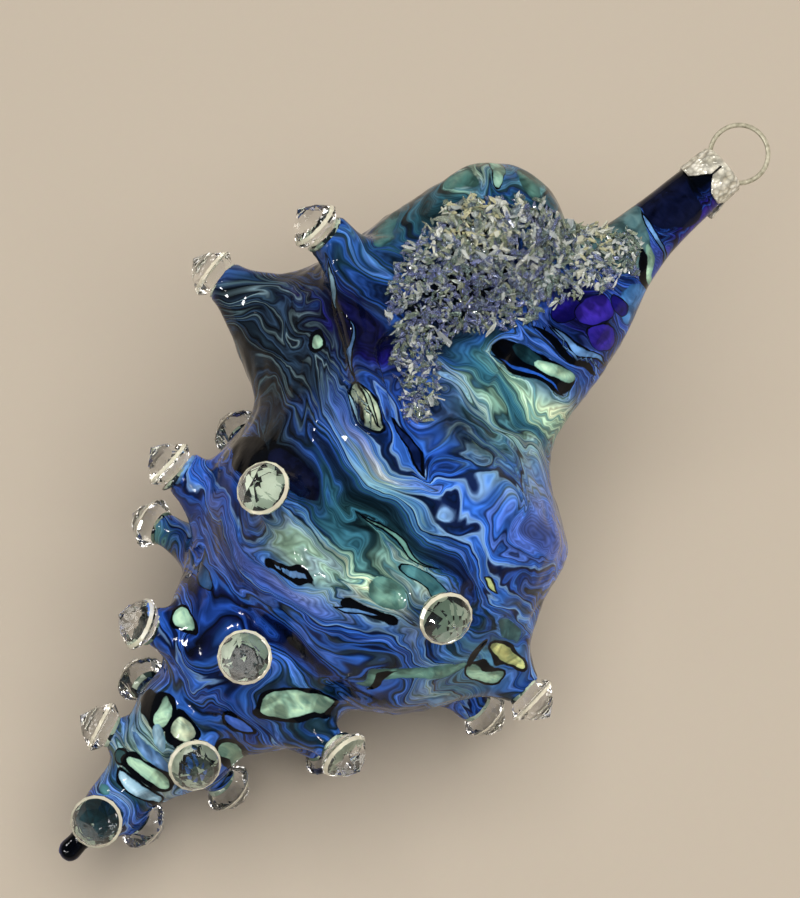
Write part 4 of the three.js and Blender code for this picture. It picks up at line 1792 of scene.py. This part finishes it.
@dataclass
class CrushedGlass:
    """Loose flakes of clear glass, glued in a layer over the aperture and the lip."""

    form: BlownForm
    lie: Lie
    finish: CrushedGlassGrit = field(default_factory=CrushedGlassGrit)
    # The patch's corners, along the shell and towards the lip, in millimetres.
    outline: Pairs = (
        (86.3, 8.3), (89.5, 14), (96, 20.6), (103.5, 26.3), (111, 27.3), (117.5, 25.4),
        (125.2, 17.8), (125.8, 12), (130.8, 6.8), (132.4, 2.4), (129, -0.6), (123.5, 0.8),
        (117, 3.8), (112, 5.2), (106.5, 8.2), (102, 13), (97.5, 13.4), (94.5, 8.4), (89, 6.9),
    )  # fmt: skip
    # Where the flakes are warmer or cooler.
    warm: tuple[Cloud, ...] = (
        Cloud(116, 22, 7, 7, 0.26), Cloud(128, 6, 6, 5, 0.2), Cloud(109, 16, 7, 5, -0.22),
    )  # fmt: skip
    # What makes the outline uneven: a ripple's length and reach.
    ragged: tuple[float, float] = (3.4, 0.7)
    coarse: Cloud = Cloud(120, 16, 9, 8, 0.45)  # where the largest flakes were laid
    flakes: int = 2700  # how many were dropped
    layer: float = 1.25  # how thick the layer is
    sides: int = 5  # how many sides a flake has
    half_long: tuple[float, float] = (0.55, 1.15)  # the least and most of half a flake's length
    half_wide: tuple[float, float] = (0.2, 0.42)  # the same for its width
    half_thick: tuple[float, float] = (0.06, 0.14)  # the same for its thickness
    cool_tone: float = 0.72  # the most that a flake's tone is by chance, on the scale of its ramp

    def holds(self, a: Array, b: Array) -> Array:
        """Finds which points lie inside the patch's ragged outline.

        Args:
            a, b: Each point's place in the shell's frame.

        Returns:
            True for each point that does.
        """
        corners = np.array(self.outline)
        length, reach = self.ragged
        a = a + reach * Ripple(71, length).at(a, b, a * 0)
        b = b + reach * Ripple(72, length).at(a, b, a * 0)
        inside = np.zeros(len(a), bool)
        for (a0, b0), (a1, b1) in zip(corners, np.roll(corners, -1, 0)):
            crosses = (b0 > b) != (b1 > b)
            step = (b1 - b0) if b1 != b0 else 1e-9
            inside ^= crosses & (a < (a1 - a0) * (b - b0) / step + a0)
        return inside

    def scatter(self, rng: np.random.Generator) -> tuple[Array, Array]:
        """Drops flakes onto the skin inside the outline.

        Args:
            rng: The source of chance.

        Returns:
            Where each flake landed and the skin's outward direction there.
        """
        corners = np.array(self.outline)
        low, high = corners.min(0) - 1, corners.max(0) + 1
        spots = rng.uniform(low, high, (self.flakes * 3, 2))
        spots = spots[self.holds(*spots.T)][: self.flakes]
        a, b = spots.T
        w = np.full(len(a), 34.0)
        for _ in range(60):
            w = np.maximum(w - np.maximum(self.form.coarse(a, b, w), 0.0) * 0.9, 0.0)
        landed = np.abs(self.form.coarse(a, b, w)) < 0.4
        points = np.stack([a, b, w], 1)[landed]
        way = self.form.slope(points)
        way /= np.linalg.norm(way, axis=1)[:, None]
        return self.form.settle(points, 2), way

    def build(self) -> None:
        """Makes the flakes, each a small broken slab at its own angle."""
        rng = np.random.default_rng(9)
        points, way = self.scatter(rng)
        count = len(points)
        tilt = rng.normal(0, 0.5, (count, 3))
        normal = way + tilt
        normal /= np.linalg.norm(normal, axis=1)[:, None]
        first = np.cross(normal, rng.normal(size=(count, 3)))
        first /= np.linalg.norm(first, axis=1)[:, None]
        second = np.cross(normal, first)
        size = np.exp(rng.normal(0.0, 0.25, (count, 1)))
        size *= 1 + self.coarse.at(points[:, :1], points[:, 1:2])
        spans = (self.half_long, self.half_wide, self.half_thick)
        half = np.concatenate([rng.uniform(*span, (count, 1)) * size for span in spans], 1)
        lift = rng.uniform(0.15, self.layer, (count, 1))
        centre = points + way * lift
        sides = self.sides
        turns = np.sort(rng.uniform(0, 2 * math.pi, (count, sides)), axis=1)
        turns = 0.5 * turns + 0.5 * (np.arange(sides) + 0.5) * 2 * math.pi / sides
        reach = rng.uniform(0.55, 1.25, (count, sides))
        local = np.empty((count, 2 * sides, 3))
        for layer, shrink in ((0, 1.0), (1, rng.uniform(0.45, 1.0, (count, 1)))):
            rows = slice(layer * sides, (layer + 1) * sides)
            local[:, rows, 0] = np.cos(turns) * reach * shrink * half[:, :1]
            local[:, rows, 1] = np.sin(turns) * reach * shrink * half[:, 1:2]
            wedge = rng.uniform(0.4, 1.7, (count, sides)) * half[:, 2:]
            local[:, rows, 2] = wedge * (2 * layer - 1)
        corners = (
            centre[:, None, :]
            + local[..., :1] * first[:, None]
            + local[..., 1:2] * second[:, None]
            + local[..., 2:] * normal[:, None]
        )
        fan = [(0, i + 1, i) for i in range(1, sides - 1)]
        fan += [(sides, sides + i, sides + i + 1) for i in range(1, sides - 1)]
        for i in range(sides):
            j = (i + 1) % sides
            fan += [(i, j, sides + j), (i, sides + j, sides + i)]
        faces = (np.array(fan)[None] + (np.arange(count) * 2 * sides)[:, None, None]).reshape(-1, 3)
        piece = mesh_object(
            "crushed_glass_flakes", self.lie.place(corners.reshape(-1, 3)), faces, False
        )
        warm = sum(cloud.at(points[:, 0], points[:, 1]) for cloud in self.warm)
        tone = np.repeat(rng.uniform(0, self.cool_tone, count) + warm, 2 * sides)
        carry(piece, {"flake_tone": tone})
        self.finish.dress(piece)
        install(piece, "crushed_glass", ["crushed_glass"])


@dataclass
class CrownCap:
    """The stamped cap: a crinkled cup whose skirt is slit into petals."""

    lie: Lie
    body: Whorls
    finish: StampedFoil = field(default_factory=StampedFoil)
    station: float = 150.4  # where its top is along the shell, in millimetres
    top: float = 4.2  # the radius of its top
    skirt: float = 4.5  # the radius of its skirt
    shoulder: float = 0.9  # the radius of the rounded edge between them
    first_slit: float = 5.0  # where the first slit is, in degrees round the neck
    slit_start: float = 1.0  # how far down the slits start
    notch_start: float = 2.9  # how far down they open into notches
    slit: float = 0.17  # half a slit's width
    end_half: float = 17.0  # half the angle that a petal's end takes up, in degrees
    # How far down each petal reaches and how far its end is bent out.
    petals: Pairs = ((5.7, 0.25), (6.4, 0.35), (6.6, 0.9), (4.9, 0.1))
    sheet: float = 0.28  # the thickness of the metal
    crinkle: float = 0.07  # how high the crinkle stands
    columns: int = 18  # how many faces a petal has across

    def axis(self) -> tuple[Array, Array, Array, Array]:
        """Finds how the cap stands.

        Returns:
            The middle of its top, and three directions: out of the neck, across and up.
        """
        rise = float(self.body.middle(152.0) - self.body.middle(142.0))
        out = np.array([10.0, rise, 0.0])
        out /= np.linalg.norm(out)
        across = np.array([-out[1], out[0], 0.0])
        at = np.array([self.station, float(self.body.middle(self.station)), 0.0])
        return at, out, across, np.array([0.0, 0.0, 1.0])

    def rows(self, depth: float, flare: float) -> list[Spot]:
        """The rows of one petal, from the middle of the top down to its end.

        Args:
            depth: How far down the petal reaches.
            flare: How far its end is bent out.

        Returns:
            Each row's depth and radius, and half its width as an angle.
        """
        quarter = math.pi / len(self.petals)
        flat = self.top - self.shoulder
        rows = [(0.0, r, quarter) for r in (0.6, 1.6, 2.6, flat)]
        for i in range(1, 6):
            t = math.pi / 2 * i / 5
            down = self.shoulder * (1 - math.cos(t))
            rows.append((down, flat + self.shoulder * math.sin(t), quarter))
        steps = 24
        for i in range(1, steps + 1):
            t = i / steps
            down = self.shoulder + (depth - self.shoulder) * t
            radius = self.top + (self.skirt - self.top) * t + flare * t**3
            room = self.slit / radius if down > self.slit_start else 0.0
            taper = max(down - self.notch_start, 0.0) / (depth - self.notch_start)
            half = (quarter - room) * (1 - taper) + math.radians(self.end_half) * taper
            rows.append((down, radius, half))
        return rows

    def build(self) -> None:
        """Makes the cap: the plate on top runs over a rounded edge into the petals."""
        at, out, across, up = self.axis()
        columns = self.columns
        vertices: list[Array] = [at]
        faces: list[tuple[int, ...]] = []
        crease = Ripple(81, 1.3, 9)
        pitch = 2 * math.pi / len(self.petals)
        for petal, (depth, flare) in enumerate(self.petals):
            base = len(vertices)
            rows = self.rows(depth, flare)
            middle = math.radians(self.first_slit) + pitch * (petal + 0.5)
            for down, radius, half in rows:
                for j in range(columns + 1):
                    turn = middle + half * (2 * j / columns - 1)
                    y, z = math.sin(turn), math.cos(turn)
                    spot = np.array([[-down], [radius * y], [radius * z]])
                    wrinkle = self.crinkle * crease.at(*spot).item() * min(radius / 2, 1)
                    drop, reach = -down - 0.3 * wrinkle, radius + wrinkle
                    vertices.append(at + out * drop + across * reach * y + up * reach * z)
            for j in range(columns):
                faces.append((0, base + j, base + j + 1))
            for row in range(len(rows) - 1):
                for j in range(columns):
                    p = base + row * (columns + 1) + j
                    faces.append((p, p + columns + 1, p + columns + 2, p + 1))
        piece = mesh_object("crown_cap", self.lie.place(np.array(vertices)), faces, True)
        face_out(piece, 0.004 * MM)
        thick = piece.modifiers.new("sheet", "SOLIDIFY")
        thick.thickness = self.sheet * MM
        thick.offset = -1.0
        self.finish.dress(piece)
        install(piece, "stamped_cap", ["ornament_cap"])


@dataclass
class HangerLoop:
    """The sprung wire: a round loop above the cap, with two legs down inside the neck."""

    cap: CrownCap
    lie: Lie
    finish: DrawnWire = field(default_factory=DrawnWire)
    wire: float = 0.37  # half its thickness
    loop: float = 4.55  # the loop's radius
    neck: float = 3.4  # half the gap between the ends of the loop
    leg: float = 2.0  # half the gap between the legs
    leg_end: float = -11.0  # where the legs end, along the neck from the cap's top
    sides: int = 12  # how many sides the wire has

    def path(self) -> Array:
        """Bends the wire's middle line.

        Returns:
            Its points, each out of the neck and across it from the middle of the cap's top.
        """
        centre = math.sqrt(self.loop**2 - self.neck**2)
        half = math.pi - math.asin(self.neck / self.loop)
        side = [
            (self.leg_end, self.leg),
            (-6.0, self.leg),
            (-3.4, self.leg + 0.05),
            (-2.0, self.leg + 0.35),
            (-1.0, self.leg + 0.85),
        ]
        arc = [
            (centre + self.loop * math.cos(t), self.loop * math.sin(t))
            for t in np.linspace(-half, half, 61)
        ]
        return np.array([(x, -y) for x, y in side] + arc + list(reversed(side)))

    def build(self) -> None:
        """Sweeps a round section along the wire's line."""
        at, out, across, up = self.cap.axis()
        line = self.path()
        tangent = np.gradient(line, axis=0)
        tangent /= np.linalg.norm(tangent, axis=1)[:, None]
        vertices = []
        for (x, y), (tx, ty) in zip(line, tangent):
            for i in range(self.sides):
                t = 2 * math.pi * i / self.sides
                flat, high = self.wire * math.cos(t), self.wire * math.sin(t)
                rise, aside = x - ty * flat, y + tx * flat
                vertices.append(at + out * rise + across * aside + up * high)
        faces = tube_faces(len(line), self.sides)
        piece = mesh_object("wire_hanger", self.lie.place(np.array(vertices)), faces, True)
        face_out(piece)
        self.finish.dress(piece)
        install(piece, "hanger_wire", ["hanger_loop"])


# ---- table, light and camera


@dataclass(frozen=True)
class Lamp:
    """A square lamp."""

    name: str
    way: Spot  # the direction to it, in the shell's frame
    far: float  # how far off it hangs, in metres
    size: float  # its side, in metres
    power: float  # its power, in watts
    colour: str = "#ffffff"  # its light, as sRGB hex
    # Whether it's there only to glint in the glass, or else only to light matt things.
    glint: bool = True

    def hang(self, lie: Lie, target: Vector) -> None:
        """Hangs the lamp.

        Args:
            lie: How the shell's frame lies.
            target: The point that it faces.
        """
        direction = lie.aim(self.way).normalized()
        lamp = bpy.data.lights.new(self.name, "AREA")
        lamp.shape = "SQUARE"
        lamp.size = self.size
        lamp.energy = self.power
        lamp.color = linear(self.colour)[:3]
        holder = bpy.data.objects.new(self.name, lamp)
        holder.location = target + direction * self.far
        holder.rotation_euler = direction.to_track_quat("Z", "Y").to_euler()
        holder.visible_glossy = self.glint
        holder.visible_diffuse = not self.glint
        bpy.context.scene.collection.objects.link(holder)


LAMPS = (
    Lamp("bounce_ceiling", (0.35, 0.12, 0.93), 1.5, 1.8, 50.0, "#fffaf4", False),
    Lamp("spot_near", (-0.66, 0.5, 0.56), 0.9, 0.085, 2.9),
    Lamp("spot_low", (-0.2, 0.85, 0.5), 0.9, 0.07, 1.9),
    Lamp("spot_high", (-0.46, 0.14, 0.88), 0.9, 0.05, 1.1),
    Lamp("spot_left", (-0.62, 0.36, 0.7), 0.9, 0.05, 1.1),
    Lamp("spot_right", (-0.66, 0.2, 0.72), 0.9, 0.05, 1.1),
)


@dataclass
class Studio:
    """The tabletop, the lamps, the room and the camera."""

    lie: Lie
    lamps: tuple[Lamp, ...] = LAMPS
    middle: Spot = (75.0, 3.0, 0.0)  # the point that they face, in the shell's frame
    room: str = "#f4f0e8"  # the room's light, as sRGB hex
    # From which height to which it dims, and its strength at each.
    room_levels: tuple[float, float, float, float] = (0.45, 0.9, 0.22, 0.04)
    top_half: float = 6.0  # half the tabletop's side, in metres, so that no view shows its edge
    aim: Spot = (83.1, 6.4, 0.0)  # the point that the camera faces, in the shell's frame
    picture_up: Spot = (0.720, 0.694, 0.0)  # the direction that is up in the picture
    distance: float = 450.0  # how far off the camera is, in millimetres
    frame_height: float = 141.0  # how much of the shell's plane it shows from bottom to top

    def build(self) -> None:
        """Sets up everything that isn't part of the ornament."""
        self.tabletop()
        middle = Vector(self.lie.place(np.array([self.middle]))[0])
        for lamp in self.lamps:
            lamp.hang(self.lie, middle)
        self.world()
        self.camera()
        settings = bpy.context.scene.view_settings
        settings.view_transform = "Standard"
        settings.look = "None"

    def tabletop(self) -> None:
        """Lays a wide plain surface under the ornament."""
        half = self.top_half
        corners = np.array([(-half, -half, 0), (half, -half, 0), (half, half, 0), (-half, half, 0)])
        top = mesh_object("tabletop", corners, [(0, 1, 2, 3)], False)
        PlainTabletop().dress(top)

    def world(self) -> None:
        """Fills the room with an even pale light that is dimmer overhead."""
        world = bpy.data.worlds.new("pale_room")
        world.use_nodes = True
        tree = world.node_tree
        place = add_node(tree, "TexCoord", out="Generated")
        height = add_node(tree, "SeparateXYZ", {0: place}, out="Z")
        strength = add_node(tree, "MapRange", {"Value": height, **levels(*self.room_levels)})
        background = tree.nodes["Background"]
        background.inputs["Color"].default_value = linear(self.room)
        tree.links.new(strength, background.inputs["Strength"])
        bpy.context.scene.world = world

    def camera(self) -> None:
        """Looks straight at the aperture's side, with the spire low on the left."""
        target = Vector(self.lie.place(np.array([self.aim]))[0])
        towards = self.lie.aim((0, 0, 1)).normalized()
        up = self.lie.aim(self.picture_up)
        right = up.cross(towards).normalized()
        up = towards.cross(right).normalized()
        lens = bpy.data.cameras.new("camera")
        lens.sensor_fit = "VERTICAL"
        lens.sensor_height = 24.0
        lens.lens = 24.0 * self.distance / self.frame_height
        lens.clip_start = 0.01
        holder = bpy.data.objects.new("camera", lens)
        turn = Matrix((right, up, towards)).transposed().to_4x4()
        holder.matrix_world = Matrix.Translation(target + towards * self.distance * MM) @ turn
        bpy.context.scene.collection.objects.link(holder)
        bpy.context.scene.camera = holder


def main() -> None:
    """Builds the ornament round its CAD frame, and the studio round the ornament."""
    logging.basicConfig(level=logging.INFO, format="%(name)s: %(message)s")
    for leftover in list(bpy.data.objects):
        bpy.data.objects.remove(leftover)
    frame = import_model()
    form = BlownForm()
    seats = {
        name.removeprefix("stone_"): StoneSeat.read(name, node)
        for name, node in frame["nodes"].items()
        if name.startswith("stone_")
    }
    lie = Lie.from_seats(seats, form)
    Studio(lie).build()
    GlassShell(form, lie).build()
    Stones(seats).build()
    GlueBeads(form, lie).build()
    CrushedGlass(form, lie).build()
    cap = CrownCap(lie, form.body)
    cap.build()
    HangerLoop(cap, lie).build()


if __name__ == "__main__":
    main()
